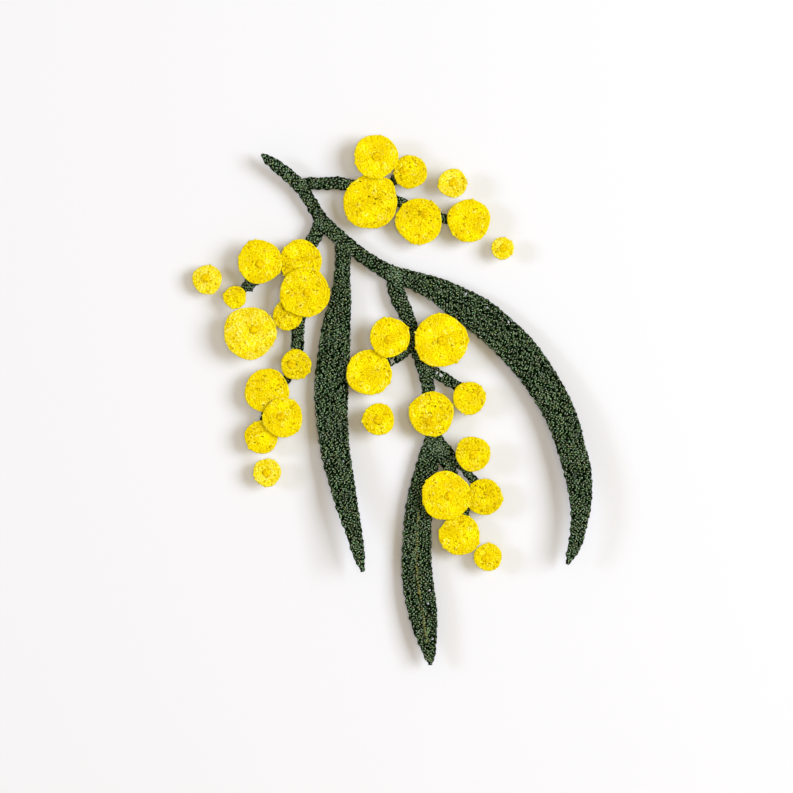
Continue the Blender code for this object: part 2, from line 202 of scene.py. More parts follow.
def stitches(start, end, out, colour, yarn):
    """Spindles from start to end, standing up along out.

    The tips lie a little below their needle holes, and have a yarn's own share of the brightness, which below
    one is painted shade where they dip in.
    Between them are two rings of four points, an arch above the straight line. The ply value grows
    with the distance along the thread and with the angle round it, so that its lines climb like the
    twist of a yarn.
    """
    radius, flatness, tip_painted_shade, arch, dip = yarn
    span = end - start
    length = np.linalg.norm(span, axis=1)
    along = unit(span)
    aside = unit(np.cross(along, out))
    rise = np.cross(aside, along)
    points = np.empty((len(start), STITCH_POINTS, 3))
    ply = np.zeros((len(start), STITCH_POINTS))
    points[:, 0] = start - rise * dip
    points[:, LAST_TIP] = end - rise * dip
    ply[:, LAST_TIP] = length / PLY_PITCH
    wheel = np.cos(RING_ANGLES)[:, None] * aside[:, None]
    wheel = wheel + flatness * np.sin(RING_ANGLES)[:, None] * rise[:, None]
    for first, share in zip((1, 1 + RING_POINTS), RING_PLACES):
        middle = start + span * share + rise * arch
        points[:, first:first + RING_POINTS] = middle[:, None] + wheel * radius
        ply[:, first:first + RING_POINTS] = (length * share / PLY_PITCH)[:, None] + RING_PHASES
    faces = np.arange(len(start))[:, None, None] * STITCH_POINTS + SPINDLE
    shade = np.repeat(colour[:, None], STITCH_POINTS, axis=1)
    shade[:, [0, LAST_TIP]] *= tip_painted_shade
    return points.reshape(-1, 3), faces.reshape(-1, 3), shade.reshape(-1, 3), ply.ravel()


print(f"a stitch has {STITCH_POINTS} points and {len(SPINDLE)} triangles")

# %% [markdown]
# ## From shapes to pieces
#
# A shape is four arrays: points, triangles, and a thread colour and a ply value for each point. Every
# stitch could be an object of its own, but so many objects would take minutes to make. So all the
# shapes of a piece are laid end to end and go into one mesh at once.


# %% Meshes and pieces
def join(shapes):
    """One shape from several: their arrays end to end, with the faces counting on."""
    before = np.cumsum([0] + [len(shape[0]) for shape in shapes[:-1]])
    points, faces, shade, ply = zip(*shapes)
    faces = [rows + count for rows, count in zip(faces, before)]
    return np.concatenate(points), np.concatenate(faces), np.concatenate(shade), np.concatenate(ply)


def make_mesh(name, shape):
    """A mesh from a shape: points, triangles, a thread colour and a ply value at each point."""
    points, faces, shade, ply = shape
    mesh = bpy.data.meshes.new(name)
    mesh.vertices.add(len(points))
    mesh.vertices.foreach_set("co", points.astype(np.float32).ravel())
    mesh.loops.add(faces.size)
    mesh.loops.foreach_set("vertex_index", faces.astype(np.int32).ravel())
    mesh.polygons.add(len(faces))
    mesh.polygons.foreach_set("loop_start", np.arange(0, faces.size, 3, dtype=np.int32))
    mesh.update(calc_edges=True)
    rgba = np.column_stack([shade, np.ones(len(shade))]).astype(np.float32)
    mesh.color_attributes.new("thread colour", "FLOAT_COLOR", "POINT").data.foreach_set("color", rgba.ravel())
    mesh.attributes.new("ply", "FLOAT", "POINT").data.foreach_set("value", ply.astype(np.float32))
    mesh.shade_smooth()
    return mesh


def add_piece(name, mesh, materials, node):
    """An object for a mesh, riding with the sprig and standing for a CAD node. Returns its triangles."""
    for material in materials:
        mesh.materials.append(material)
    item = add_object(name, mesh)
    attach(item, "root")
    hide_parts(node)
    return len(mesh.polygons)


print("each piece is one mesh, which rides with the sprig")

# %% [markdown]
# ## Thread material
#
# Embroidery thread has a silky gloss that follows its twist, and no two stitches are equally bright.
# A picture of thread could be laid over a smooth sheet, but it would look printed from close by. Here
# every stitch carries its own colour, and the material adds the twist and the fibres as fine relief.
# Dark stitches lie deep, where little light can glance off, so their gloss is weaker.


# %% Nodes of a material
def add_node(material, kind, values=None, **settings):
    """A new node in a material, with its settings and with values in its input sockets."""
    node = material.node_tree.nodes.new(kind)
    for setting, value in settings.items():
        setattr(node, setting, value)
    set_sockets(node, values or {})
    return node


def noise_node(material, scale, detail):
    """Noise over a piece's own coordinates."""
    spot = add_node(material, "ShaderNodeTexCoord")
    noise = add_node(material, "ShaderNodeTexNoise", {"Scale": scale, "Detail": detail})
    material.node_tree.links.new(spot.outputs["Object"], noise.inputs["Vector"])
    return noise


def relief_node(material, height, distance):
    """Relief that stands up by a distance where the height is one."""
    relief = add_node(material, "ShaderNodeBump", {"Distance": distance})
    material.node_tree.links.new(height, relief.inputs["Height"])
    return relief


print("nodes for noise and for relief")

# %% Thread materials
FIBRE_SCALE = 4200.0
FIBRE_DETAIL = 2.0
FIBRE_RELIEF = 0.012 * MM
FIBRE_MOTTLE = {"To Min": 0.9, "To Max": 1.06}
PLY_RELIEF = 0.022 * MM
DULL_BELOW = 0.02
# roughness, gloss, and the brightness from which on a stitch has all of that gloss
GREEN_FINISH = (0.25, 0.55, 0.12)
YELLOW_FINISH = (0.45, 0.02, 0.5)


def thread_material(name, roughness, gloss, full_gloss_at):
    """Thread: the stitch's own colour, faintly mottled, with relief from its twist and its fibres.

    The twist is the sine of the ply value, one wave for each whole number. The gloss grows with the
    stitch's brightness, up to a limit.
    """
    material, shader = principled(name, {"Roughness": roughness})
    links = material.node_tree.links
    colour = add_node(material, "ShaderNodeAttribute", attribute_name="thread colour")
    fibres = noise_node(material, FIBRE_SCALE, FIBRE_DETAIL)
    mottle = add_node(material, "ShaderNodeMapRange", FIBRE_MOTTLE)
    links.new(fibres.outputs["Fac"], mottle.inputs["Value"])
    tint = add_node(material, "ShaderNodeVectorMath", operation="SCALE")
    links.new(colour.outputs["Color"], tint.inputs[0])
    links.new(mottle.outputs["Result"], tint.inputs["Scale"])
    links.new(tint.outputs["Vector"], shader.inputs["Base Color"])
    ply = add_node(material, "ShaderNodeAttribute", attribute_name="ply")
    turn = add_node(material, "ShaderNodeMath", {1: math.tau}, operation="MULTIPLY")
    links.new(ply.outputs["Fac"], turn.inputs[0])
    strand = add_node(material, "ShaderNodeMath", operation="SINE")
    links.new(turn.outputs["Value"], strand.inputs[0])
    twist_relief = relief_node(material, strand.outputs["Value"], PLY_RELIEF)
    fibre_relief = relief_node(material, fibres.outputs["Fac"], FIBRE_RELIEF)
    links.new(twist_relief.outputs["Normal"], fibre_relief.inputs["Normal"])
    links.new(fibre_relief.outputs["Normal"], shader.inputs["Normal"])
    grey = add_node(material, "ShaderNodeRGBToBW")
    links.new(colour.outputs["Color"], grey.inputs["Color"])
    limits = {"From Min": DULL_BELOW, "From Max": full_gloss_at, "To Max": gloss}
    glint = add_node(material, "ShaderNodeMapRange", limits)
    links.new(grey.outputs["Val"], glint.inputs["Value"])
    links.new(glint.outputs["Result"], shader.inputs["Specular IOR Level"])
    return material


green_thread = thread_material("green thread", *GREEN_FINISH)
yellow_thread = thread_material("yellow thread", *YELLOW_FINISH)
print("green and yellow thread")

# %% [markdown]
# ## Where the lace runs
#
# The lace is drawn as strips: the stem, its side stalks and the three leaves. A strip is a short list
# of places with a width and a height, the same ones that the solid model has, and a smooth curve runs
# through them. An outline drawn by hand would do too, but a strip also tells which way its stitches
# run, where its edge is and where its midrib lies.

# %% Routes of the strips
LACE_LEVEL = 4.2 * MM
# pixel across, pixel down, width in mm, rise in mm over the level of the lace
MAIN_STEM = [
    (261.8, 154.8, 1.2, 2.9), (266.5, 158.5, 3.2, 2.7), (276, 165.5, 4.7, 2.2), (291, 177.5, 5.2, 1.3),
    (301, 187.5, 5.2, 0.8), (311, 202.5, 5.0, 0.3), (321, 219, 5.4, 0.0), (333, 232, 6.0, -0.1),
    (346, 243, 5.8, -0.1), (360, 254, 5.6, -0.1), (374, 263.5, 5.8, -0.1), (390, 273, 6.4, -0.1),
    (402, 279, 6.2, -0.1),
]
RIGHT_LEAF = [
    (388, 271, 5.4, -0.1), (403, 276.5, 6.6, -0.1), (418, 282, 7.9, -0.1), (437.5, 290, 10.0, 0.0),
    (459, 303, 13.0, 0.2), (479.5, 315.5, 14.2, 0.5), (500, 332.5, 14.2, 0.9), (516.5, 348.5, 14.5, 1.3),
    (531, 366, 13.9, 1.8), (545.5, 387.5, 13.3, 2.4), (556, 406, 12.8, 2.9), (565, 427.5, 12.2, 3.5),
    (570.5, 446.5, 11.3, 4.0), (576.5, 468, 11.2, 4.4), (579.3, 486, 10.0, 4.7), (580.2, 507, 8.2, 4.9),
    (578, 527, 6.4, 4.9), (574.6, 544, 5.4, 4.8), (570, 556, 3.6, 4.7), (566.8, 564, 1.2, 4.6),
]
LEFT_LEAF = [
    (342, 244, 5.6, -0.1), (342.8, 254, 6.0, -0.1), (342, 277, 6.4, -0.1), (340.7, 300, 8.4, -0.1),
    (336.7, 323, 11.0, -0.1), (334.5, 346, 12.4, -0.1), (332.4, 369, 13.2, 0.0), (331.3, 392, 13.6, 0.3),
    (331.5, 411, 12.8, 0.7), (333, 431, 12.2, 1.3), (336.2, 456.5, 11.5, 2.4), (341.8, 482, 10.2, 3.6),
    (347.6, 508, 8.6, 4.9), (354.3, 533, 6.4, 6.1), (359.4, 556, 4.5, 7.1), (363, 571, 1.4, 7.7),
]
LOW_LEAF = [
    (434.5, 434, 5.6, -0.1), (431, 449, 7.6, -0.1), (426, 472, 9.2, -0.1), (421, 496, 10.4, -0.1),
    (418, 518, 10.9, 0.0), (417, 540, 11.4, 0.2), (416.7, 561, 11.9, 0.4), (418, 583, 12.3, 0.7),
    (422, 608, 11.8, 1.2), (425.7, 632, 9.2, 1.7), (428.5, 648, 6.2, 2.0), (430, 659, 3.6, 2.2),
    (430.2, 665, 1.4, 2.3),
]
TOP_STALK = [
    (298, 184, 3.4, 0.8), (308, 183, 4.6, 0.5), (321, 183.5, 4.9, 0.1), (338, 182.8, 5.1, 0.0),
    (352, 185.5, 4.8, 0.0), (372, 191, 5.0, 0.0), (402, 203, 4.2, 0.0), (425, 213, 4.0, 0.0),
    (445, 218.5, 3.6, 0.0), (466, 221, 3.2, 0.0),
]
TOP_BRANCH = [
    (380, 193, 3.0, 0.0), (392, 182, 3.6, 0.0), (404, 171, 3.8, 0.0), (411, 167, 2.8, 0.0),
]
LEFT_STALK = [
    (322, 219, 5.0, 0.0), (316, 234, 5.6, 0.0), (308, 250, 5.2, 0.0), (305, 270, 4.8, 0.0),
    (306.5, 293, 5.0, 0.0), (299.5, 317, 4.8, 0.0), (297.6, 335, 5.0, 0.0), (297, 350, 5.0, 0.0),
    (292, 364, 4.6, 0.0), (287, 379, 3.4, 0.0), (271, 394, 3.4, 0.0), (265, 415, 3.2, 0.0),
    (262, 434, 3.0, 0.0),
]
LEFT_BRANCH = [
    (308, 254, 3.4, 0.0), (285, 260, 4.2, 0.0), (260, 265, 4.4, 0.0), (251, 277, 4.4, 0.0),
    (248.5, 291, 3.4, 0.0),
]
LEFT_SPUR = [(257, 281, 3.0, 0.0), (246, 286.5, 3.6, 0.0), (237, 294, 2.6, 0.0)]
LEFT_TWIG = [(299, 320, 3.4, 0.0), (290, 318, 3.0, 0.0), (284, 314, 2.2, 0.0)]
MIDDLE_STALK = [
    (393, 273, 6.0, 0.0), (398, 296, 6.7, 0.0), (405, 311, 6.0, 0.0), (411.5, 326.5, 5.0, 0.0),
    (415, 341, 5.2, 0.0), (422, 362, 5.8, 0.0), (426, 376, 5.4, 0.0), (428.5, 390, 5.2, 0.0),
    (429, 412, 5.2, 0.0), (431, 428, 5.4, 0.0), (436, 443, 7.0, 0.0), (438, 452, 6.0, 0.0),
]
MIDDLE_LEFT_TWIG = [
    (414, 343, 3.4, 0.0), (403, 354.5, 3.4, 0.0), (391, 361, 3.8, 0.0), (375, 369, 2.8, 0.0),
]
MIDDLE_RIGHT_TWIG = [
    (423, 365, 3.8, 0.0), (440, 375.5, 4.4, 0.0), (454, 384, 4.2, 0.0), (468, 393, 3.0, 0.0),
]
LOW_STALK = [
    (437, 441, 5.0, 0.0), (446, 450, 4.6, 0.0), (455, 459.5, 3.4, 0.0), (465, 470.5, 3.0, 0.0),
    (473, 479.5, 3.6, 0.0), (483, 492, 3.0, 0.0),
]
LOW_TWIG = [
    (438, 446, 5.6, 0.0), (444, 457, 6.0, 0.0), (450, 469, 4.8, 0.0), (458, 490, 4.0, 0.0),
    (465, 512, 3.6, 0.0), (462, 529, 2.8, 0.0),
]
LEAVES = {"right_leaf": RIGHT_LEAF, "left_leaf": LEFT_LEAF, "low_leaf": LOW_LEAF}
STALKS = {
    "stem_and_top_stalks": [MAIN_STEM, TOP_STALK, TOP_BRANCH],
    "hanging_stalks": [
        LEFT_STALK, LEFT_BRANCH, LEFT_SPUR, LEFT_TWIG, MIDDLE_STALK, MIDDLE_LEFT_TWIG,
        MIDDLE_RIGHT_TWIG, LOW_STALK, LOW_TWIG,
    ],
}
print(f"{len(LEAVES)} leaves and {sum(len(strips) for strips in STALKS.values())} stalks")

# %% Strips with ragged edges
FINE_SAMPLES = 400
SHEET_CELL = 0.75 * MM
RAGGED = 0.28 * MM
RAGGED_WAVES = np.array([(1150.0, 0.4), (1870.0, 2.0), (2890.0, 4.1)])
WIDTH_TURN = 50.0
NARROWEST = 0.3
# place of the half width among the six values of a strip
HALF_WIDTH = 4


def smooth_route(rows, step):
    """X, y, width and height at even steps along a smooth curve through the rows.

    Between two rows the curve is the cubic whose slope at each row points from the row before
    to the row after, so it passes through every row without a corner.
    """
    knots = np.array([(*place(x, y), width * MM, LACE_LEVEL + rise * MM) for x, y, width, rise in rows])
    chord = np.linalg.norm(np.diff(knots[:, :2], axis=0), axis=1)
    at = np.concatenate([[0.0], np.cumsum(chord)])
    slope = np.gradient(knots, at, axis=0)
    fine = np.linspace(0.0, at[-1], FINE_SAMPLES)
    cell = np.clip(np.searchsorted(at, fine, side="right") - 1, 0, len(at) - 2)
    span = chord[cell][:, None]
    t = ((fine - at[cell]) / chord[cell])[:, None]
    curve = (
        (2 * t**3 - 3 * t**2 + 1) * knots[cell]
        + (t**3 - 2 * t**2 + t) * span * slope[cell]
        + (3 * t**2 - 2 * t**3) * knots[cell + 1]
        + (t**3 - t**2) * span * slope[cell + 1]
    )
    run = np.concatenate([[0.0], np.cumsum(np.linalg.norm(np.diff(curve[:, :2], axis=0), axis=1))])
    even = np.linspace(0.0, run[-1], max(3, round(run[-1] / step) + 1))
    return np.stack([np.interp(even, run, line) for line in curve.T])


def ragged(run, turn):
    """Unevenness along an edge: three sines of the distance run, of lengths that never fit together."""
    return RAGGED * np.sin(run[:, None] * RAGGED_WAVES[:, 0] + turn * RAGGED_WAVES[:, 1]).mean(axis=1)


def lay_strip(rows):
    """A strip as its distance run, and x, y, the direction to its right, half width and height there.

    Its middle and its half width are both made ragged, each in its own way, so that its two edges
    differ. It never gets narrower than a share of its width.
    """
    x, y, width, height = smooth_route(rows, SHEET_CELL)
    step_x, step_y = np.gradient(x), np.gradient(y)
    step = np.hypot(step_x, step_y)
    right_x, right_y = step_y / step, -step_x / step
    run = np.concatenate([[0.0], np.cumsum(np.hypot(np.diff(x), np.diff(y)))])
    turn = rows[0][0]
    aside = ragged(run, turn)
    half = np.maximum(width / 2 + ragged(run, turn + WIDTH_TURN), NARROWEST * width)
    return run, np.stack([x + right_x * aside, y + right_y * aside, right_x, right_y, half, height])


def read_strip(strip, along):
    """The strip's six values at distances along it, read between its rows."""
    run, lines = strip
    return [np.interp(along, run, line) for line in lines]


leaf_lengths = [round(lay_strip(rows)[0][-1] / MM) for rows in LEAVES.values()]
print(f"the leaves are {leaf_lengths} mm long")

# %% [markdown]
# ## Dense inside of the lace
#
# Under its top stitches the lace is so dense that it looks like felt, with a pinhole here and there
# where no thread crossed. A flat ribbon could stand for it, but its edge would catch the light like
# paper. So the sheet is a grid that is thick in the middle, thins to its edges and puckers softly. A
# pinhole is a cell or a few left out of the grid, with walls round them.

# %% Faces of a strip
LEAF_HALF = 0.22 * MM
STALK_HALF = 0.38 * MM
TIP_HALF_WIDTH = 1.5 * MM
EDGE_THINNING = 0.62
EDGE_LEAN = 0.9
RIDGE = 0.35 * MM
RIDGE_HALF_WIDTH = 2.5 * MM
PUCKER = 0.13 * MM
PUCKER_WAVES = np.array([(2300.0, 900.0, 0.0), (-1500.0, 2100.0, 1.3), (700.0, -2600.0, 2.1)])


def waves(x, y, rows):
    """Soft waves that never repeat, from -1 to 1: the mean of sines along three crossing directions."""
    phase = x[..., None] * rows[:, 0] + y[..., None] * rows[:, 1] + rows[:, 2]
    return np.sin(phase).mean(axis=-1)


def pucker(x, y):
    """Height of the soft waves, a few millimetres long, that all the lace has."""
    return PUCKER * waves(x, y, PUCKER_WAVES)


def lace_face(strip, leaf, side, flat):
    """Points and outward directions on a strip's face, for places given as (along, off the middle).

    Side is 1 for the top and -1 for the underside. The half thickness falls with the fourth power
    of the distance from the middle. The middle stands up as a ridge. On a leaf it falls with the
    third power of what is left to the edge, and on a stalk it falls evenly. The direction leans
    outwards near the edge.
    """
    x, y, right_x, right_y, half, height = read_strip(strip, flat[..., 0])
    across = np.clip(flat[..., 1] / half, -1.0, 1.0)
    body = (LEAF_HALF if leaf else STALK_HALF) * np.sqrt(np.minimum(1.0, half / TIP_HALF_WIDTH))
    body = body * (1 - EDGE_THINNING * across**4)
    ridge = RIDGE * (1 - np.abs(across)) ** (3 if leaf else 1) * np.minimum(1.0, half / RIDGE_HALF_WIDTH)
    x = x + right_x * flat[..., 1]
    y = y + right_y * flat[..., 1]
    z = height + side * body + ridge + pucker(x, y)
    lean = EDGE_LEAN * across**3
    out = unit(np.stack([right_x * lean, right_y * lean, np.full_like(x, side)], axis=-1))
    return np.stack([x, y, z], axis=-1), out


print(f"the inside of a leaf is {2 * LEAF_HALF / MM:.2f} mm thick, of a stalk {2 * STALK_HALF / MM:.2f} mm")

# %% Sheet with pinholes
PINHOLES_PX = np.array([
    (392, 361), (437, 373), (441, 375), (420, 376), (342, 354), (328, 461), (343, 461), (350, 445),
    (350, 451), (464, 289), (466, 294), (487, 308), (509, 322), (430, 590), (429, 604), (433, 639),
    (422, 458), (418, 632), (575, 412),
])
PINHOLE_SIZES = np.array([
    0.95, 0.60, 0.85, 0.55, 0.60, 0.50, 0.50, 0.50, 0.50, 0.50, 0.60, 0.50, 0.80, 0.70, 0.50, 0.60,
    0.50, 0.50, 0.50,
]) * MM
PINHOLES = np.stack(place(PINHOLES_PX[:, 0], PINHOLES_PX[:, 1]), axis=1)
PINHOLE_TRIM = SHEET_CELL / 4
# the dense inside is coloured near black: painted shade of the deep gaps between the stitches
GREEN_FELT_AND_PAINTED_SHADE = np.array((0.001, 0.004, 0.0005))


def walled_sheet(top, bottom, keep, colour):
    """A closed sheet between two grids of points. A kept cell with no neighbour gets a wall there."""
    rows, columns = top.shape[:2]
    under = rows * columns
    index = np.arange(under).reshape(rows, columns)
    corners = [index[:-1, :-1], index[:-1, 1:], index[1:, 1:], index[1:, :-1]]
    quads = [np.stack(corners, axis=-1)[keep], np.stack(corners[::-1], axis=-1)[keep] + under]
    padded = np.pad(keep, 1)
    beyond = [padded[:-2, 1:-1], padded[1:-1, 2:], padded[2:, 1:-1], padded[1:-1, :-2]]
    for side, neighbour in enumerate(beyond):
        first, second = corners[side], corners[(side + 1) % 4]
        wall = np.stack([second, first, first + under, second + under], axis=-1)
        quads.append(wall[keep & ~neighbour])
    used, faces = np.unique(np.concatenate(quads), return_inverse=True)
    faces = faces.reshape(-1, 4)
    points = np.concatenate([top.reshape(-1, 3), bottom.reshape(-1, 3)])[used]
    triangles = np.concatenate([faces[:, [0, 1, 2]], faces[:, [0, 2, 3]]])
    return points, triangles, np.tile(colour, (len(points), 1)), np.zeros(len(points))


def lace_sheet(strip, leaf):
    """The dense inside of a strip. Each pinhole takes the cell nearest to it, and those in its reach."""
    run, lines = strip
    half = lines[HALF_WIDTH]
    columns = max(4, round(2 * half.max() / SHEET_CELL))
    across = np.linspace(-1.0, 1.0, columns + 1)
    flat = np.stack(np.broadcast_arrays(run[:, None], across * half[:, None]), axis=-1)
    top, _ = lace_face(strip, leaf, 1, flat)
    bottom, _ = lace_face(strip, leaf, -1, flat)
    middle = (top[:-1, :-1] + top[1:, 1:])[..., :2] / 2
    keep = np.ones(middle.shape[:2], bool)
    away = np.linalg.norm(middle[:, :, None] - PINHOLES, axis=-1)
    for hole in range(len(PINHOLES)):
        nearest = np.unravel_index(away[:, :, hole].argmin(), keep.shape)
        if away[:, :, hole][nearest] < SHEET_CELL:
            keep[nearest] = False
            keep[away[:, :, hole] < PINHOLE_SIZES[hole] - PINHOLE_TRIM] = False
    return walled_sheet(top, bottom, keep, GREEN_FELT_AND_PAINTED_SHADE)


test_sheet = lace_sheet(lay_strip(RIGHT_LEAF), True)
print(f"the right leaf's sheet has {len(test_sheet[1])} triangles")

# %% [markdown]
# ## Rounds and strokes of the needle
#
# In free-motion sewing the cloth is moved by hand under the needle, in small overlapping rounds. That
# is what makes the grainy surface of this lace: little rings with dark middles, crossed by straight
# strokes. One endless wandering path could be followed, but short paths of a few needle holes each
# are easier to spread evenly, and nobody can tell where one ends and the next begins.

# %% Needle paths
STRAY = (-1.0, 2.0)
ROUND_SIDES = 5
ROUND_UNEVEN = (0.85, 1.15)
GREEN_ROUNDS = (0.40 * MM, 0.65 * MM)
GREEN_STROKES = (0.8 * MM, 1.4 * MM)
GREEN_GLINTS = (0.7 * MM, 1.25 * MM)
YELLOW_ROUNDS = (0.80 * MM, 1.30 * MM)
YELLOW_STROKES = (1.6 * MM, 3.0 * MM)
GOLDEN = (math.sqrt(5) - 1) / 2


def scatter(rng, count, loose):
    """Even but irregular places in a unit square.

    One share counts up, and each place strays from it by a step or two. The other goes on by the
    golden share of the whole each time and wraps, so that places that follow each other never line
    up. The looser they are, the further they stray from that.
    """
    first = (np.arange(count) + rng.uniform(*STRAY, count)) / count
    second = np.arange(count) * GOLDEN + rng.uniform(-loose, loose, count)
    return np.stack([np.clip(first, 0.0, 1.0), second % 1.0], axis=1)


def polar(reach, angle):
    """X and y of places at a distance and an angle: the distance times the angle's cosine and sine."""
    return np.stack([reach * np.cos(angle), reach * np.sin(angle)], axis=-1)


def rounds(rng, count, sizes):
    """Needle holes of small closed rounds, as steps from their middles: (count, sides + 1, 2)."""
    turn = rng.uniform(0, math.tau, (count, 1)) + np.arange(ROUND_SIDES) * math.tau / ROUND_SIDES
    reach = rng.uniform(*sizes, (count, 1)) * rng.uniform(*ROUND_UNEVEN, turn.shape)
    steps = polar(reach, turn)
    return np.concatenate([steps, steps[:, :1]], axis=1)


def strokes(rng, count, sizes):
    """Needle holes of single straight stitches, as steps from their middles: (count, 2, 2)."""
    turn = rng.uniform(0, math.tau, count)
    step = polar(rng.uniform(*sizes, count) / 2, turn)
    return np.stack([-step, step], axis=1)


print("rounds of", ROUND_SIDES, "stitches and single strokes")


# %% Sewing on a face
def mix(tone, dark, light):
    """Colours from dark to light by a tone from 0 to 1, one row each."""
    return np.array(dark) + np.asarray(tone)[:, None] * (np.array(light) - np.array(dark))


def sew(face, holes, lift, colour, yarn, clear=None, clear_reach=0.0):
    """Stitches between the needle holes of each path, laid on a face at each path's own height.

    Stitches whose middle lies within a reach of one of the places to keep clear are left out.
    """
    spots, out = face(holes)
    spots = spots + out * lift[:, None, None]
    start = spots[:, :-1].reshape(-1, 3)
    end = spots[:, 1:].reshape(-1, 3)
    aim = (out[:, :-1] + out[:, 1:]).reshape(-1, 3)
    if clear is not None:
        middle = ((start + end) / 2)[:, None, :2]
        free = (np.linalg.norm(middle - clear, axis=-1) > clear_reach).all(axis=1)
        start, end, aim, colour = start[free], end[free], aim[free], colour[free]
    return stitches(start, end, aim, colour, yarn)


print("half way between black and white thread:", mix([0.5], (0.0, 0.0, 0.0), (1.0, 1.0, 1.0))[0])

# %% [markdown]
# ## Green stitches
#
# The face of the lace is covered with rounds and strokes in a dark green thread, some of it a grey green and
# some a little olive. A stitch is painted lighter the higher it lies, as painted light and shade of the
# depth, and the near-black inside between them is painted shade. Over them lie thin bright strokes, no two of
# quite
# the same hue: painted highlights where single threads catch the light. One even green with a bump map would
# be quicker, but it would have no grain. The underside is sewn as well, but more thinly, and lower, so
# darker.
# Rows of stitches bind the edges, and small rounds stick out of them here and there. On the lowest leaf an
# olive zigzag marks the midrib.

# %% Colours of the green thread
# ends of the thread's colour; between them the height paints light and shade, and a random share gives the
# thread's own tone
GREEN_DARK = (0.001, 0.006, 0.001)
GREEN_LIGHT = (0.176, 0.278, 0.113)
OLIVE = (0.17, 0.20, 0.035)
OLIVE_TONE = (0.2, 1.0)
LAYER = 0.46 * MM
LOW_TONE = 0.25
TONE_REACH = 0.80
TONE_POWER = 1.5
HUE_JITTER = 0.12
PATCH_WAVES = np.array([(520.0, 260.0, 0.0), (-310.0, 640.0, 1.7), (190.0, -430.0, 3.9)])


def patches(middles, strength, each):
    """Brightness of each path's stitches, from lighter and darker patches about a centimetre long.

    A strength for each of red, green and blue also turns the hue, which a single one keeps.
    """
    bright = 1 + waves(middles[:, 0], middles[:, 1], PATCH_WAVES)[:, None] * np.array(strength)
    return np.repeat(bright, each, axis=0)


def green_shades(rng, lift, each, olive_share):
    """Colours of the stitches of each path: lighter the higher it lies, and a few of them olive.

    The tone is a product of the height, as painted light and shade of the depth, and of a power of a
    random share, so that most stitches are dark and a few stand out. Each colour channel then varies a
    little for itself.
    """
    # painted light and shade: the tone grows with a stitch's height, so lower stitches, and the underside's,
    # are darker
    high = np.repeat(LOW_TONE + (1 - LOW_TONE) * lift / LAYER, each)
    tone = TONE_REACH * high * rng.uniform(0.0, 1.0, len(high)) ** TONE_POWER
    shades = mix(tone, GREEN_DARK, GREEN_LIGHT)
    shades *= rng.uniform(1 - HUE_JITTER, 1 + HUE_JITTER, shades.shape)
    olive = rng.random(len(shades)) < olive_share
    shades[olive] = mix(rng.uniform(*OLIVE_TONE, olive.sum()), GREEN_LIGHT, OLIVE)
    return shades


print("green thread from", GREEN_DARK, "to", GREEN_LIGHT)

# %% Covering a strip
TOP_ROUNDS = 0.29
TOP_STROKES = 0.72
TOP_GLINTS = 0.72
UNDER_ROUNDS = 0.13
UNDER_LAYER = 0.15 * MM
COVER_MARGIN = 0.62 * MM
NARROW_BELOW = 1.5 * GREEN_ROUNDS[1]
LOOSE = 0.06
GREEN_PATCH = 0.21
GLINTS_LOOSE = 0.055
# painted highlights: thin strokes of bright thread, one hue each, standing for glints where single threads
# catch the light
GLINT_DIM = (0.096, 0.160, 0.064)
GLINT_BRIGHT = (0.30, 0.405, 0.23)
GLINT_JITTER = 0.22
GLINT_LIFT = (0.85, 1.15)


def strip_spots(rng, strip, count, margin, loose):
    """Even places over a strip as (along, off the middle), none nearer to its edge than the margin."""
    run, lines = strip
    half = lines[HALF_WIDTH]
    area = np.concatenate([[0.0], np.cumsum((half[1:] + half[:-1]) * np.diff(run))])
    share = scatter(rng, count, loose)
    along = np.interp(share[:, 0] * area[-1], area, run)
    room = np.maximum(np.interp(along, run, half) - margin, 0.0)
    return np.stack([along, (2 * share[:, 1] - 1) * room], axis=1)


def strip_area(strip):
    """Area of a strip in square millimetres: its width added up along it."""
    run, lines = strip
    half = lines[HALF_WIDTH]
    return ((half[1:] + half[:-1]) * np.diff(run)).sum() / MM**2


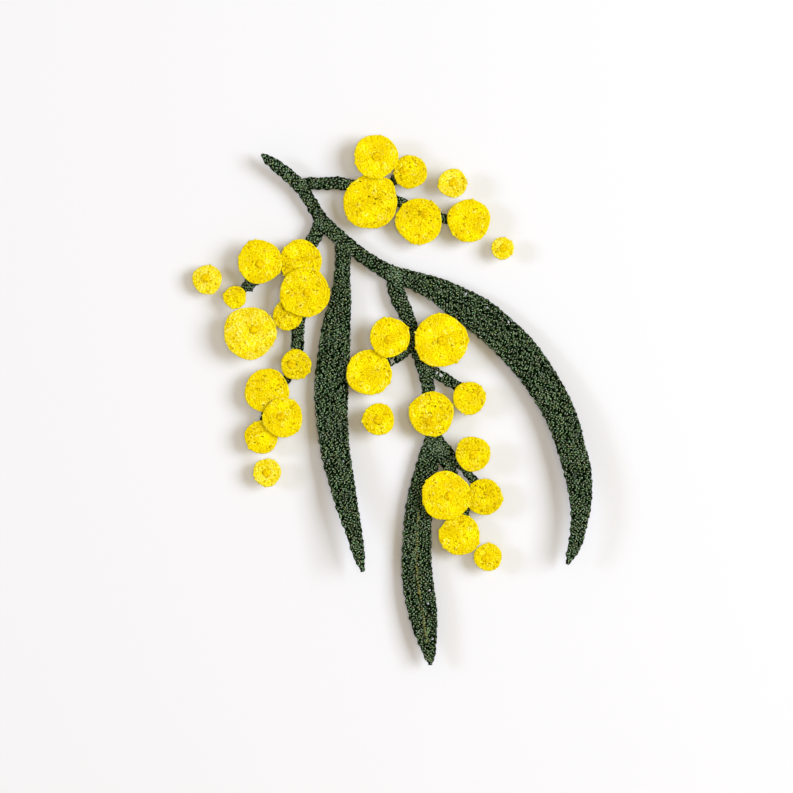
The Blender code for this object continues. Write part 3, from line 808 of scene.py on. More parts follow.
def cover_strip(rng, strip, leaf, olive_share):
    """Rounds and strokes over both faces of a strip, and thin bright strokes all over its top.

    Where the strip is narrow, its rounds and strokes are as much smaller.
    """
    face = lambda flat: lace_face(strip, leaf, 1, flat)
    under = lambda flat: lace_face(strip, leaf, -1, flat)
    area = strip_area(strip)
    shapes = []
    covers = [(rounds, GREEN_ROUNDS, TOP_ROUNDS, face, LAYER)]
    covers += [(strokes, GREEN_STROKES, TOP_STROKES, face, LAYER)]
    covers += [(rounds, GREEN_ROUNDS, UNDER_ROUNDS, under, UNDER_LAYER)]
    for paths, sizes, density, above, layer in covers:
        count = round(area * density)
        steps = paths(rng, count, sizes)
        each = steps.shape[1] - 1
        spots = strip_spots(rng, strip, count, COVER_MARGIN, LOOSE)
        narrow = np.minimum(1.0, read_strip(strip, spots[:, 0])[HALF_WIDTH] / NARROW_BELOW)
        lift = rng.uniform(0, layer, count)
        colour = green_shades(rng, lift, each, olive_share)
        colour *= patches(above(spots)[0], GREEN_PATCH, each)
        holes = spots[:, None] + steps * narrow[:, None, None]
        shapes.append(sew(above, holes, lift, colour, GREEN_YARN, PINHOLES, PINHOLE_SIZES))
    # painted highlights: bright glint strokes all over the top
    count = round(area * TOP_GLINTS)
    spots = strip_spots(rng, strip, count, COVER_MARGIN, GLINTS_LOOSE)
    holes = spots[:, None] + strokes(rng, count, GREEN_GLINTS)
    colour = mix(rng.uniform(0, 1, count), GLINT_DIM, GLINT_BRIGHT)
    colour *= rng.uniform(1 - GLINT_JITTER, 1 + GLINT_JITTER, colour.shape)
    colour *= patches(face(spots)[0], GREEN_PATCH, 1)
    lift = rng.uniform(*GLINT_LIFT, count) * LAYER
    shapes.append(sew(face, holes, lift, colour, GLINT_YARN, PINHOLES, PINHOLE_SIZES))
    return shapes


print(f"{TOP_ROUNDS * ROUND_SIDES + TOP_STROKES:.1f} stitches on a square millimetre of green")

# %% Binding the edges
STITCH_SHIFT = (-0.25, 0.25)
STICK_OUT = (-1.0, 0.2)
EDGE_STITCH = 1.30 * MM
EDGE_INSET = 0.64 * MM
EDGE_CORD = 0.09 * MM
EDGE_TILTS = (-35.0, 10.0, 50.0)
EDGE_WANDER = 0.08 * MM
EDGE_OLIVE = 0.02
EDGE_ROUND_SHARE = 0.55
EDGE_ROUND_SPACE = 3.2 * MM


def bind_edges(rng, strip, leaf):
    """Rows of stitches round both edges of a strip, and small rounds that stick out of them."""
    run, _ = strip
    face = lambda flat: lace_face(strip, leaf, 1, flat)
    count = max(2, round(run[-1] / EDGE_STITCH))
    shapes = []
    for side in (-1, 1):
        for row, tilt in enumerate(EDGE_TILTS):
            shift = row / len(EDGE_TILTS) + rng.uniform(*STITCH_SHIFT, count + 1)
            along = np.linspace(0, run[-1], count + 1) + shift * EDGE_STITCH
            x, y, right_x, right_y, half, height = read_strip(strip, along)
            level, flat = math.sin(math.radians(tilt)), side * math.cos(math.radians(tilt))
            out = np.stack([right_x * flat, right_y * flat, np.full_like(x, level)], axis=-1)
            off = side * np.maximum(half - EDGE_INSET, 0.0) + rng.uniform(-1, 1, count + 1) * EDGE_WANDER
            x, y = x + right_x * off, y + right_y * off
            spots = np.stack([x, y, height + pucker(x, y)], axis=-1) + out * EDGE_CORD
            colour = green_shades(rng, rng.uniform(0, LAYER, count), 1, EDGE_OLIVE)
            shapes.append(stitches(spots[:-1], spots[1:], out[:-1] + out[1:], colour, EDGE_YARN))
        count_out = max(1, round(run[-1] / EDGE_ROUND_SPACE))
        along = rng.uniform(0, run[-1], count_out)
        half = read_strip(strip, along)[HALF_WIDTH]
        middle = np.stack([along, side * np.maximum(half - EDGE_INSET / 2, 0.0)], axis=1)
        holes = middle[:, None] + rounds(rng, count_out, GREEN_ROUNDS) * EDGE_ROUND_SHARE
        lift = rng.uniform(*STICK_OUT, count_out) * STALK_HALF / 2
        colour = green_shades(rng, rng.uniform(0, LAYER, count_out), ROUND_SIDES, EDGE_OLIVE)
        shapes.append(sew(face, holes, lift, colour, EDGE_YARN))
    return shapes


def lace_shapes(rng, rows, leaf, olive_share):
    """All the shapes of one strip: its dense sheet, its cover and its bound edges."""
    strip = lay_strip(rows)
    cover = cover_strip(rng, strip, leaf, olive_share)
    return [lace_sheet(strip, leaf)] + cover + bind_edges(rng, strip, leaf)


print(f"{len(EDGE_TILTS)} rows of stitches along each edge")

# %% [markdown]
# ## Leaves and stalks
#
# The whole lace is one piece of work. It is too rich in stitches for one mesh, so it is made as five:
# each leaf, the stem with the stalks at its top, and the stalks that hang from it. Their dense sheets
# run into each other where they meet, as the stitches of the real lace do.

# %% Midrib
MIDRIB_STEP = 0.36 * MM
MIDRIB_SHIFT = (-0.2, 0.2)
MIDRIB_SWING = 0.78 * MM
MIDRIB_SWINGS = (0.5, 1.3)
MIDRIB_DIM = (0.018, 0.024, 0.003)
MIDRIB_BRIGHT = (0.33, 0.31, 0.055)
MIDRIB_SPAN = (0.33, 0.90)


def midrib(rng, rows, first, last):
    """A dim olive zigzag along the middle of a leaf, between two shares of its length.

    Few of its stitches carry a painted highlight, so their tone is the square of a random share.
    """
    strip = lay_strip(rows)
    along = np.arange(first * strip[0][-1], last * strip[0][-1], MIDRIB_STEP)
    along = along + rng.uniform(*MIDRIB_SHIFT, len(along)) * MIDRIB_STEP
    swing = MIDRIB_SWING * np.where(np.arange(len(along)) % 2, 1.0, -1.0)
    swing = swing * rng.uniform(*MIDRIB_SWINGS, len(along))
    holes = np.stack([along, swing], axis=1)[None]
    colour = mix(rng.uniform(0.0, 1.0, len(along) - 1) ** 2, MIDRIB_DIM, MIDRIB_BRIGHT)
    face = lambda flat: lace_face(strip, True, 1, flat)
    return sew(face, holes, np.array([LAYER]), colour, GLINT_YARN, PINHOLES, PINHOLE_SIZES)


print(f"the midrib's stitches are {MIDRIB_STEP / MM:.2f} mm apart")

# %% Five green pieces
LEAF_SEED = 100
STALK_SEED = 200
OLIVE_SHARES = {"right_leaf": 0.04, "left_leaf": 0.05, "low_leaf": 0.03}
STALK_OLIVE = 0.03


def add_lace(name, shapes):
    """A green piece from its shapes. Prints and returns its triangles."""
    count = add_piece(name, make_mesh(name, join(shapes)), [green_thread], "green_lace")
    print(f"{name}: {count} triangles")
    return count


total = 0
for seed, (name, rows) in enumerate(LEAVES.items(), LEAF_SEED):
    rng = np.random.default_rng(seed)
    shapes = lace_shapes(rng, rows, True, OLIVE_SHARES[name])
    if rows is LOW_LEAF:
        shapes.append(midrib(rng, rows, *MIDRIB_SPAN))
    total += add_lace(name, shapes)

rng = np.random.default_rng(STALK_SEED)
for name, strips in STALKS.items():
    shapes = [shape for rows in strips for shape in lace_shapes(rng, rows, False, STALK_OLIVE)]
    total += add_lace(name, shapes)

# %% [markdown]
# ## Flower heads
#
# Each flower head is a small flat cake of yellow thread, sewn in rounds from the middle outwards and
# finished with a few circles along its rim. A ball of fluff would look like the real flower, but these
# are discs: 1.4 mm thick, a little uneven in outline, and dimpled where a pin goes through.

# %% Table of the heads
# number, pixel across, pixel down, radius in mm, pixel of its pin, heading of a bulge in degrees,
# brightness, share of pale stitches
HEADS = [
    (1, 376.0, 157.0, 8.8, (376.5, 157.0), None, 1.02, 0.07),
    (2, 410.3, 172.0, 6.7, (404.0, 171.0), None, 0.92, 0.07),
    (3, 370.0, 202.3, 10.8, None, 45.0, 0.95, 0.07),
    (4, 452.5, 183.5, 5.8, (453.0, 183.0), None, 0.96, 0.72),
    (5, 419.0, 221.3, 9.3, (425.0, 214.0), None, 0.95, 0.07),
    (6, 468.8, 220.6, 8.6, None, None, 0.98, 0.07),
    (7, 502.5, 248.3, 4.5, (503.5, 248.0), None, 0.97, 0.62),
    (8, 260.0, 262.0, 8.8, (260.0, 264.5), None, 0.97, 0.07),
    (9, 300.5, 261.0, 8.5, None, None, 0.94, 0.07),
    (10, 305.0, 292.5, 10.0, (307.8, 292.9), None, 0.94, 0.07),
    (11, 235.0, 297.3, 4.6, None, None, 0.93, 0.07),
    (12, 207.0, 279.5, 5.9, (205.5, 278.0), None, 0.97, 0.64),
    (13, 250.0, 333.0, 10.5, (254.0, 330.0), None, 0.985, 0.60),
    (14, 287.5, 315.5, 6.0, None, None, 0.88, 0.07),
    (15, 296.0, 364.6, 6.1, (291.9, 364.2), None, 0.835, 0.07),
    (16, 267.0, 391.0, 8.9, None, None, 0.96, 0.07),
    (17, 283.0, 417.5, 8.0, (281.0, 417.0), None, 0.98, 0.07),
    (18, 261.5, 437.0, 6.7, None, None, 0.97, 0.07),
    (19, 267.0, 472.5, 5.6, (267.0, 473.0), None, 0.985, 0.54),
    (20, 389.7, 337.3, 8.0, (388.6, 340.0), None, 0.99, 0.07),
    (21, 441.0, 340.7, 10.7, (441.5, 341.0), None, 0.99, 0.07),
    (22, 369.0, 372.5, 9.1, None, None, 0.99, 0.07),
    (23, 378.5, 419.3, 6.4, (378.0, 420.0), None, 0.94, 0.07),
    (24, 431.5, 414.0, 9.0, (429.5, 421.0), None, 0.92, 0.07),
    (25, 469.3, 398.0, 6.6, None, None, 0.92, 0.07),
    (26, 472.8, 453.8, 7.0, (473.5, 454.5), None, 0.90, 0.07),
    (27, 446.0, 495.5, 9.8, (448.6, 496.0), None, 0.98, 0.07),
    (28, 484.3, 497.0, 7.3, None, None, 0.865, 0.07),
    (29, 459.6, 534.8, 8.2, None, None, 0.95, 0.07),
    (30, 488.0, 557.0, 5.6, (486.5, 558.0), None, 0.93, 0.07),
]
pin_count = sum(pin is not None for _, _, _, _, pin, *_ in HEADS)
print(f"{len(HEADS)} heads, {pin_count} of them with a pin")

# %% Form of a head
HEAD_THICKNESS = 1.4 * MM
HEAD_HALF = 0.66 * MM
HEAD_WAVER = 0.022
SWELL = 0.14 * MM
SWELL_WAVES = np.array([(700.0, 420.0, 0.5), (-560.0, 760.0, 2.6), (310.0, -880.0, 4.4)])
BULGE = 0.16
BULGE_SPREAD = 0.28
RIM_ROUNDING = 0.55
PIN_DIMPLE = 0.10 * MM
PIN_DIMPLE_REACH = 2.2 * MM
DIM_THREADS = 0.55
# painted shade: thin strokes of deep yellow on each square millimetre of a head, a few at least and more on a
# dim one
SHADE_STROKES_AT_LEAST = 0.035
SHADE_STROKES_PER_DIMNESS = 1.3


def read_head(row):
    """A head's values by name. Its middle level is half its thickness over the CAD head's underside.

    The pin's place is kept twice: from the middle of the head, and as the cap's place on the sprig.
    A dim head is dim in two ways: its threads are a little dimmer, and more thin strokes of deep
    yellow, which are painted shade, lie between them, counted on a square millimetre.
    """
    number, x, y, radius, pin, bulge, bright, pale_share = row
    low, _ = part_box(f"head_{number:02d}")
    head = {"number": number, "middle": np.array(place(x, y)), "radius": radius * MM, "bulge": bulge}
    head.update({"level": low.z + HEAD_THICKNESS / 2, "pale_share": pale_share})
    head["bright"] = 1 - DIM_THREADS * (1 - bright)
    head["deep"] = SHADE_STROKES_AT_LEAST + SHADE_STROKES_PER_DIMNESS * (1 - bright)
    head["pin"] = np.array(place(*pin)) - head["middle"] if pin else None
    head["cap"] = (head["pin"] + head["middle"])[None] if pin else None
    return head


def outline(head, angle):
    """Radius of a head at an angle: a circle with 3, 5 and 13 waves round it, and maybe a bulge.

    The waves are 1, 0.7 and 0.5 times as high as the waver, and the head's number turns the first
    two. The bulge is a bell curve over the angle.
    """
    number = head["number"]
    waver = np.sin(3 * angle + number) + 0.7 * np.sin(5 * angle + 2.1 * number) + 0.5 * np.cos(13 * angle)
    grow = 1 + HEAD_WAVER * waver
    if head["bulge"] is not None:
        off = (angle - math.radians(head["bulge"]) + math.pi) % math.tau - math.pi
        grow = grow + BULGE * np.exp(-((off / BULGE_SPREAD) ** 2))
    return head["radius"] * grow


def head_face(head, side, flat):
    """Points and outward directions on a head's face, for places given from its middle.

    The face rounds off at the rim with the sixth power of the distance. The top swells and sinks
    softly, and dips round the pin as a bell curve.
    """
    x, y = flat[..., 0], flat[..., 1]
    share = np.minimum(np.hypot(x, y) / outline(head, np.arctan2(y, x)), 1.0)
    z = side * HEAD_HALF * (1 - RIM_ROUNDING * share**6)
    if side > 0:
        z = z + SWELL * waves(x + head["middle"][0], y + head["middle"][1], SWELL_WAVES) * (1 - share**6)
    if head["pin"] is not None and side > 0:
        away = np.hypot(x - head["pin"][0], y - head["pin"][1])
        z = z - PIN_DIMPLE * np.exp(-((away / PIN_DIMPLE_REACH) ** 2))
    x, y = x + head["middle"][0], y + head["middle"][1]
    lean = EDGE_LEAN * share**5 / head["radius"]
    out = unit(np.stack([flat[..., 0] * lean, flat[..., 1] * lean, np.full_like(x, side)], axis=-1))
    return np.stack([x, y, head["level"] + z + pucker(x, y)], axis=-1), out


def turned_faces(rows, spokes):
    """Triangles of a turned shape: bands between its rows, and a fan to a pole at either end."""
    index = np.arange(rows * spokes).reshape(rows, spokes)
    ahead = np.roll(index, -1, axis=1)
    quads = np.stack([index[:-1], index[1:], ahead[1:], ahead[:-1]], axis=-1).reshape(-1, 4)
    top, bottom = np.full(spokes, rows * spokes), np.full(spokes, rows * spokes + 1)
    fans = [np.stack([top, index[0], ahead[0]], axis=1), np.stack([bottom, ahead[-1], index[-1]], axis=1)]
    return np.concatenate([quads[:, [0, 1, 2]], quads[:, [0, 2, 3]]] + fans)


test_head = read_head(HEADS[2])
print(f"head 3 is {2 * outline(test_head, np.array([0.0]))[0] / MM:.1f} mm across to the right")

# %% [markdown]
# ## Yellow stitches
#
# The yellow thread is bright, so its gaps aren't black but a deeper, warmer yellow, and here that is painted
# shade: the dense inside is a deeper yellow. Its strands are wide and flat, and lie half sunk in the dense
# inside, the lighter ones higher, so part of their tone is painted light and shade of their height and the
# rest is their own. Straight rows of them would look like satin stitch, but the real discs are sewn round and
# round. So the rounds are spread on a spiral, which fills a disc as evenly as seeds fill a sunflower. Circles
# of stitches follow the rim on the face and down the side, and a few small rounds stick out.

# %% Colours of the yellow thread
YELLOW_DEEP = (0.70, 0.510, 0.0002)
YELLOW_LIGHT = (0.93, 0.800, 0.002)
YELLOW_PALE = (0.94, 0.83, 0.15)
# share of a stitch's tone that follows its path's height: painted light and shade
PATH_TONE = 0.7
PALE_KEPT = 0.15


def yellow_shades(rng, head, count, each):
    """Heights of as many paths, from 0 to 1, and colours of their stitches from deep to light or pale.

    The paleness of a path is a high power of a random share, so that few paths have much of it. The
    larger a head's share of pale stitches, the lower that power. Pale paths lie high, and so do light
    ones, because the tone follows the height: painted light and shade, with the lower stitches deeper.
    A random part of tone and paleness is each stitch's own.
    """
    pale = rng.random(count) ** (1 / head["pale_share"])
    high = np.maximum(rng.random(count), pale)
    own = rng.random(count * each)
    tone = PATH_TONE * np.repeat(high, each) + (1 - PATH_TONE) * own
    shades = mix(tone, YELLOW_DEEP, YELLOW_LIGHT)
    pale = np.repeat(pale, each) * (PALE_KEPT + (1 - PALE_KEPT) * rng.random(count * each))
    shades = shades + pale[:, None] * (np.array(YELLOW_PALE) - shades)
    return high, np.minimum(shades * head["bright"], 1.0)


print("yellow thread from", YELLOW_DEEP, "to", YELLOW_LIGHT)

# %% Covering a head
# the dense inside is a deeper yellow: painted shade of the gaps between the strands
YELLOW_FELT_AND_PAINTED_SHADE = (0.74, 0.545, 0.0002)
# painted light and shade of a face that isn't quite flat: soft lighter and darker patches about a centimetre
# long, the darker ones more orange
YELLOW_PATCH = (0.10, 0.15, 0.15)
HEAD_ROUNDS = 0.28
HEAD_STROKES = 0.32
HEAD_UNDER_ROUNDS = 0.11
HEAD_JITTER = 0.25 * MM
HEAD_LAYER = 0.14 * MM
HEAD_SINK = 0.26 * MM
GOLDEN_ANGLE = math.tau * (1 - GOLDEN)
RIM_INSET = 0.40 * MM
CAP_CLEAR = 1.55 * MM


def head_sheet(head):
    """The dense inside of a head: rows of points from the middle of its top over the rim and back."""
    rings = max(3, round(head["radius"] / SHEET_CELL))
    spokes = round(math.tau * head["radius"] / SHEET_CELL)
    shares = np.arange(1, rings + 1) / rings
    angle = np.arange(spokes) * math.tau / spokes
    edge = polar(outline(head, angle) - RIM_INSET / 2, angle)
    top, _ = head_face(head, 1, shares[:, None, None] * edge)
    bottom, _ = head_face(head, -1, shares[::-1, None, None] * edge)
    grid = np.concatenate([top, bottom])
    poles = np.stack([head_face(head, side, np.zeros((1, 2)))[0][0] for side in (1, -1)])
    points = np.concatenate([grid.reshape(-1, 3), poles])
    faces = turned_faces(2 * rings, spokes)
    colour = np.array(YELLOW_FELT_AND_PAINTED_SHADE) * head["bright"] * patches(points, YELLOW_PATCH, 1)
    return points, faces, colour, np.zeros(len(points))


def cover_head(rng, head):
    """Rounds and strokes over both faces of a head, kept clear of the cap of its pin.

    Their places go on by the golden angle each time, with the root of a share that counts up as
    their distance from the middle.
    """
    area = math.pi * (head["radius"] / MM) ** 2
    shapes = []
    covers = [(rounds, YELLOW_ROUNDS, HEAD_ROUNDS, 1), (strokes, YELLOW_STROKES, HEAD_STROKES, 1)]
    covers += [(rounds, YELLOW_ROUNDS, HEAD_UNDER_ROUNDS, -1)]
    for paths, sizes, density, side in covers:
        count = round(area * density)
        share = np.sqrt((np.arange(count) + 0.5) / count)
        angle = np.arange(count) * GOLDEN_ANGLE + rng.uniform(0, math.tau)
        spots = polar((outline(head, angle) - YELLOW_ROUNDS[1]) * share, angle)
        spots = spots + rng.normal(0, HEAD_JITTER, spots.shape)
        steps = paths(rng, count, sizes)
        each = steps.shape[1] - 1
        high, colour = yellow_shades(rng, head, count, each)
        lift = high * HEAD_LAYER - HEAD_SINK
        colour *= patches(spots + head["middle"], YELLOW_PATCH, each)
        clear = head["cap"] if side > 0 else None
        face = lambda flat: head_face(head, side, flat)
        shapes.append(sew(face, spots[:, None] + steps, lift, colour, YELLOW_YARN, clear, CAP_CLEAR))
    return shapes


print(f"{HEAD_ROUNDS * ROUND_SIDES + HEAD_STROKES:.1f} stitches on a square millimetre of yellow")

# %% Binding the rim
RIM_STITCH = 1.7 * MM
RIM_CIRCLES = (0.95, 0.86)
RIM_WANDER = 0.1 * MM
RIM_TILTS = (-45.0, 0.0, 40.0)
RIM_CORD = 0.14 * MM
RIM_ROUND_SPACE = 6.0 * MM
RIM_ROUND_SHARE = 0.38


def bind_rim(rng, head):
    """Circles of stitches on the face near the rim and down its side, and small rounds sticking out."""
    count = round(math.tau * head["radius"] / RIM_STITCH)
    face = lambda flat: head_face(head, 1, flat)
    shapes = []
    for share in RIM_CIRCLES:
        angle = np.append((np.arange(count) + rng.uniform(*STITCH_SHIFT, count)) * math.tau / count, 0.0)
        angle[-1] = angle[0] + math.tau
        reach = outline(head, angle) * share + np.append(rng.uniform(-1, 1, count) * RIM_WANDER, 0.0)
        reach[-1] = reach[0]
        holes = polar(reach, angle)[None]
        _, colour = yellow_shades(rng, head, count, 1)
        shapes.append(sew(face, holes, np.array([-HEAD_SINK / 2]), colour, RIM_YARN))
    for circle, tilt in enumerate(RIM_TILTS):
        shift = circle / len(RIM_TILTS) + rng.uniform(*STITCH_SHIFT, count)
        angle = (np.arange(count) + shift) * math.tau / count
        level, flat = math.sin(math.radians(tilt)), math.cos(math.radians(tilt))
        out = np.column_stack([polar(flat, angle), np.full(count, level)])
        x, y = (head["middle"] + polar(outline(head, angle) - RIM_INSET, angle)).T
        spots = np.stack([x, y, head["level"] + pucker(x, y)], axis=1) + out * RIM_CORD
        _, colour = yellow_shades(rng, head, count, 1)
        after = np.roll(np.arange(count), -1)
        shapes.append(stitches(spots, spots[after], out + out[after], colour, RIM_YARN))
    small = max(3, round(math.tau * head["radius"] / RIM_ROUND_SPACE))
    angle = rng.uniform(0, math.tau, small)
    middle = polar(outline(head, angle) - RIM_INSET / 2, angle)
    holes = middle[:, None] + rounds(rng, small, YELLOW_ROUNDS) * RIM_ROUND_SHARE
    _, colour = yellow_shades(rng, head, small, ROUND_SIDES)
    lift = rng.uniform(*STICK_OUT, small) * HEAD_HALF / 2
    shapes.append(sew(face, holes, lift, colour, RIM_YARN))
    return shapes


print(f"{len(RIM_CIRCLES)} circles of stitches on the face and {len(RIM_TILTS)} down the side")

# %% [markdown]
# ## Small marks on the heads
#
# Where a pin goes through, it pulls the thread down a little, so a ring round its cap lies in shade,
# deepest on the left, and that shade is painted into the ring's stitches. On some heads a few near-black
# specks, each a short stitch, lie between the yellow ones, and two heads have a loose pale loop at their
# rim. Thin strokes of a deeper yellow all over the top are painted shade, where a thread turns away from
# the light. A spotted material could draw all this, but it would look printed. So each mark is sewn, in a
# few stitches. The rings, the dark specks and the loops lie where the picture has them, and the deeper
# strokes anywhere.

# %% Marks and deeper strokes
# painted shade of the ring round a pin's cap
YELLOW_SHADE = (0.56, 0.380, 0.001)
CAP_RING = 1.72 * MM
RING_TURN = np.linspace(0.0, math.tau, 10)
MARK_LIFT = 0.10 * MM
# near-black specks, each a short stitch, laid at the listed spots
SPECK_COLOUR = np.array((0.05, 0.05, 0.006))
SPECKS_PX = np.array([
    (368.4, 196.2), (369.6, 197.0), (391.6, 198.2), (373.8, 191.0), (360.3, 181.7), (380.0, 199.5),
    (374.5, 204.0), (376.0, 199.0), (402.0, 180.0), (400.5, 176.0), (419.0, 215.0), (407.0, 213.0),
    (430.4, 215.8), (438.0, 219.0), (431.0, 221.0), (419.0, 211.5), (450.0, 216.0), (464.0, 224.0),
    (286.7, 256.3), (313.0, 247.0), (309.8, 245.4), (241.0, 290.0), (283.0, 309.0), (289.0, 315.0),
    (288.0, 362.0), (297.0, 364.5), (283.5, 379.5), (263.4, 405.0), (284.5, 382.5), (269.2, 399.0),
    (281.0, 387.0), (275.5, 390.0), (262.5, 436.5), (255.0, 442.5), (378.0, 369.5), (386.0, 366.0),
    (384.0, 369.0), (389.0, 371.0), (367.0, 424.0), (440.0, 432.3), (429.3, 395.3), (432.0, 406.0),
    (435.3, 406.3), (425.5, 395.0), (429.0, 404.0), (431.0, 413.0), (464.0, 390.0), (458.0, 450.0),
    (475.7, 485.7), (480.0, 487.0), (482.0, 498.0), (456.0, 541.0),
])
SPECKS = np.stack(place(SPECKS_PX[:, 0], SPECKS_PX[:, 1]), axis=1)
SPECK_SIZES = (0.5 * MM, 1.1 * MM)
LOOSE_LOOPS_PX = {21: (415.6, 332.6), 23: (362.3, 421.5)}
YELLOW_LOOSE = np.array((0.96, 0.86, 0.09))
SHADE_STROKE_COLOUR = (0.60, 0.390, 0.0008)
DEEP_JITTER = 0.20
DEEP_SIZES = (1.0 * MM, 2.0 * MM)
DEEP_LIFT = 0.03 * MM


def small_marks(rng, head):
    """The shaded ring round a pin's cap, the dark specks on the head and its loose loop, if any.

    The ring is painted shade: deepest on the left, where the cap keeps the light off, and fading to the
    right.
    """
    face = lambda flat: head_face(head, 1, flat)
    shapes = []
    if head["pin"] is not None:
        ring = head["pin"] + polar(CAP_RING, RING_TURN)
        fade = (1 + np.cos(RING_TURN[1:])) / 2
        colour = mix(fade, YELLOW_SHADE, YELLOW_DEEP)
        shapes.append(sew(face, ring[None], np.array([MARK_LIFT]), colour, RING_YARN))
    near = SPECKS - head["middle"]
    near = near[np.linalg.norm(near, axis=1) < head["radius"]]
    if len(near):
        holes = near[:, None] + strokes(rng, len(near), SPECK_SIZES)
        colour = np.tile(SPECK_COLOUR, (len(near), 1))
        shapes.append(sew(face, holes, np.full(len(near), MARK_LIFT), colour, SPECK_YARN))
    if head["number"] in LOOSE_LOOPS_PX:
        spot = np.array(place(*LOOSE_LOOPS_PX[head["number"]])) - head["middle"]
        holes = spot + rounds(rng, 2, GREEN_ROUNDS) * EDGE_ROUND_SHARE
        colour = np.tile(YELLOW_LOOSE, (2 * ROUND_SIDES, 1))
        shapes.append(sew(face, holes, np.array([0.0, HEAD_LAYER]), colour, EDGE_YARN))
    return shapes


def painted_shade_strokes(rng, head):
    """Thin strokes of a deeper yellow all over the top of a head, kept clear of the cap of its pin.

    The share of the radius is the root of a random number, which spreads them evenly over a disc.
    """
    # painted shade: thin deeper yellow strokes where a thread turns away from the light
    count = round(math.pi * (head["radius"] / MM) ** 2 * head["deep"])
    angle = rng.uniform(0, math.tau, count)
    spots = polar((outline(head, angle) - DEEP_SIZES[1] / 2) * np.sqrt(rng.random(count)), angle)
    holes = spots[:, None] + strokes(rng, count, DEEP_SIZES)
    colour = np.array(SHADE_STROKE_COLOUR) * rng.uniform(1 - DEEP_JITTER, 1 + DEEP_JITTER, (count, 1))
    face = lambda flat: head_face(head, 1, flat)
    return [sew(face, holes, np.full(count, DEEP_LIFT), colour, SPECK_YARN, head["cap"], CAP_CLEAR)]


print(f"{len(SPECKS)} dark threads and {len(LOOSE_LOOPS_PX)} loose loops")

# %% Thirty heads
HEAD_SEED = 300

heads_total = 0
for row in HEADS:
    head = read_head(row)
    rng = np.random.default_rng(HEAD_SEED + head["number"])
    shapes = [head_sheet(head)] + cover_head(rng, head) + bind_rim(rng, head)
    shapes += small_marks(rng, head) + painted_shade_strokes(rng, head)
    name = f"flower_head_{head['number']:02d}"
    mesh = make_mesh(name, join(shapes))
    heads_total += add_piece(name, mesh, [yellow_thread], f"head_{head['number']:02d}")
total += heads_total
print(f"{len(HEADS)} heads: {heads_total} triangles")

# %% [markdown]
# ## Pins with low caps
#
# A pin is a thin steel wire with a low round cap of yellow plastic, which lies almost flush in the
# thread. The cap could be a stock disc with a cylinder under it, but one turned profile gives both in a
# single closed skin, with two materials that meet at the neck. A clean glossy cap would stand out from
# the thread. The real ones are blotched and dulled by the fluff that clings to them, and so are these.

# %% Plastic and steel
CAP_BLOTCH_SCALE = 1000.0
CAP_BLOTCH_DETAIL = 3.0
# a value of the noise, and the colour that it stands for
CAP_BLOTCHES = ((0.40, (0.55, 0.355, 0.0004, 1.0)), (0.60, (0.80, 0.585, 0.0010, 1.0)))
CAP_RELIEF = 0.08 * MM
CAP_FINISH = {"Roughness": 0.55, "Specular IOR Level": 0.02}
STEEL_FINISH = {"Base Color": (0.66, 0.65, 0.62, 1.0), "Metallic": 1.0, "Roughness": 0.28}


def cap_material():
    """Moulded yellow plastic, blotched and rough like the fluff of thread that clings to it."""
    material, shader = principled("yellow cap", CAP_FINISH)
    links = material.node_tree.links
    blotch = noise_node(material, CAP_BLOTCH_SCALE, CAP_BLOTCH_DETAIL)
    ramp = add_node(material, "ShaderNodeValToRGB")
    for stop, (edge, colour) in zip(ramp.color_ramp.elements, CAP_BLOTCHES):
        stop.position = edge
        stop.color = colour
    links.new(blotch.outputs["Fac"], ramp.inputs["Fac"])
    links.new(ramp.outputs["Color"], shader.inputs["Base Color"])
    relief = relief_node(material, blotch.outputs["Fac"], CAP_RELIEF)
    links.new(relief.outputs["Normal"], shader.inputs["Normal"])
    return material


cap_plastic = cap_material()
steel, _ = principled("pin steel", STEEL_FINISH)
print("plastic with", len(CAP_BLOTCHES), "shades of yellow, and steel")

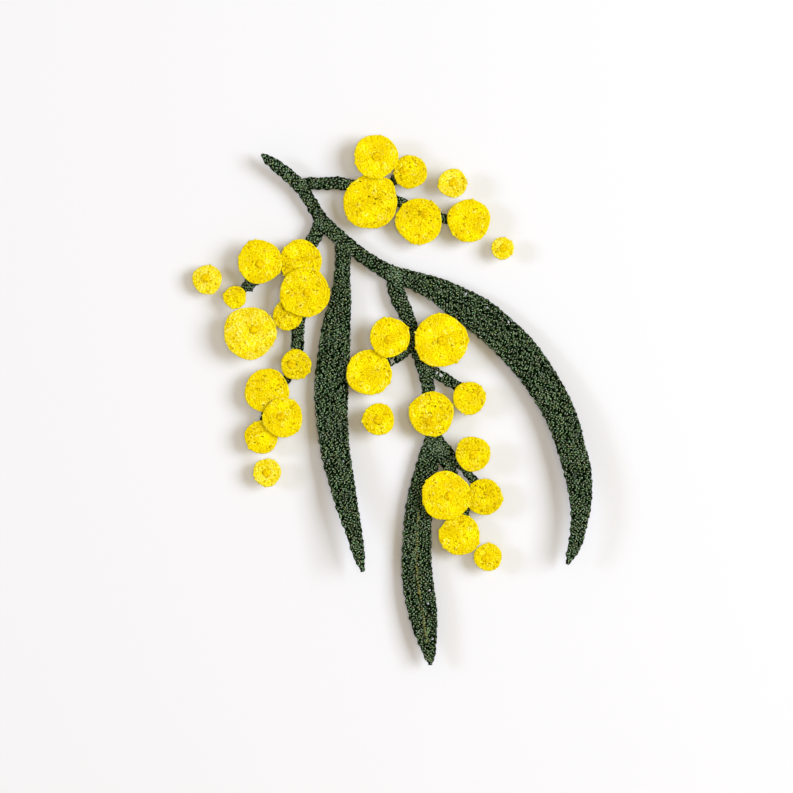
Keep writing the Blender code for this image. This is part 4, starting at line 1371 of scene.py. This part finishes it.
# %% Pins
CAP_RADIUS = 1.6 * MM
CAP_CROWN = 0.34 * MM
CAP_EDGE = 0.16 * MM
CAP_UNDER = 0.42 * MM
CAP_ROWS = 7
CAP_BENDS = np.radians([30.0, 60.0, 90.0, 120.0, 150.0])
PIN_RADIUS = 0.3 * MM
PIN_SPOKES = 32
SHAFT_ROWS = 6
SHARP_EDGE = math.radians(40)


def pin_shape(spot, top):
    """A pin turned round its axis: a domed cap, its round edge, a hollow cone, then the wire.

    The dome falls with the square of the distance to the axis. The edge is most of a half circle.
    The points from the neck down are the wire's.
    """
    reach = np.linspace(0, CAP_RADIUS - CAP_EDGE, CAP_ROWS + 1)[1:]
    dome = np.stack([reach, top - CAP_CROWN * (reach / reach[-1]) ** 2], axis=1)
    edge_radius = CAP_RADIUS - CAP_EDGE + CAP_EDGE * np.sin(CAP_BENDS)
    edge_level = top - CAP_CROWN - CAP_EDGE + CAP_EDGE * np.cos(CAP_BENDS)
    edge = np.stack([edge_radius, edge_level], axis=1)
    neck = edge[-1, 1] - CAP_UNDER
    wire = np.stack([np.full(SHAFT_ROWS, PIN_RADIUS), np.linspace(neck, 0, SHAFT_ROWS)], axis=1)
    radius, height = np.concatenate([dome, edge, wire]).T
    angle = np.arange(PIN_SPOKES) * math.tau / PIN_SPOKES
    grid = np.stack(np.broadcast_arrays(
        spot[0] + radius[:, None] * np.cos(angle), spot[1] + radius[:, None] * np.sin(angle), height[:, None]
    ), axis=-1)
    poles = np.array([(*spot, top), (*spot, 0.0)])
    points = np.concatenate([grid.reshape(-1, 3), poles])
    on_wire = np.abs(points[:, 2] - neck / 2) < neck / 2 + CAP_EDGE / 2
    plain = np.ones((len(points), 3))
    return (points, turned_faces(len(radius), PIN_SPOKES), plain, np.zeros(len(points))), on_wire


pins_total = 0
for number, _, _, _, pin, *_ in HEADS:
    if pin:
        node = f"pin_{number:02d}"
        shape, on_wire = pin_shape(place(*pin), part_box(node)[1].z)
        mesh = make_mesh(f"capped_{node}", shape)
        pins_total += add_piece(f"capped_{node}", mesh, [cap_plastic, steel], node)
        mesh.polygons.foreach_set("material_index", on_wire[shape[1]].all(axis=1).astype(np.int32))
        mesh.set_sharp_from_angle(angle=SHARP_EDGE)
total += pins_total
print(f"pins: {pins_total} triangles, {total} in all")
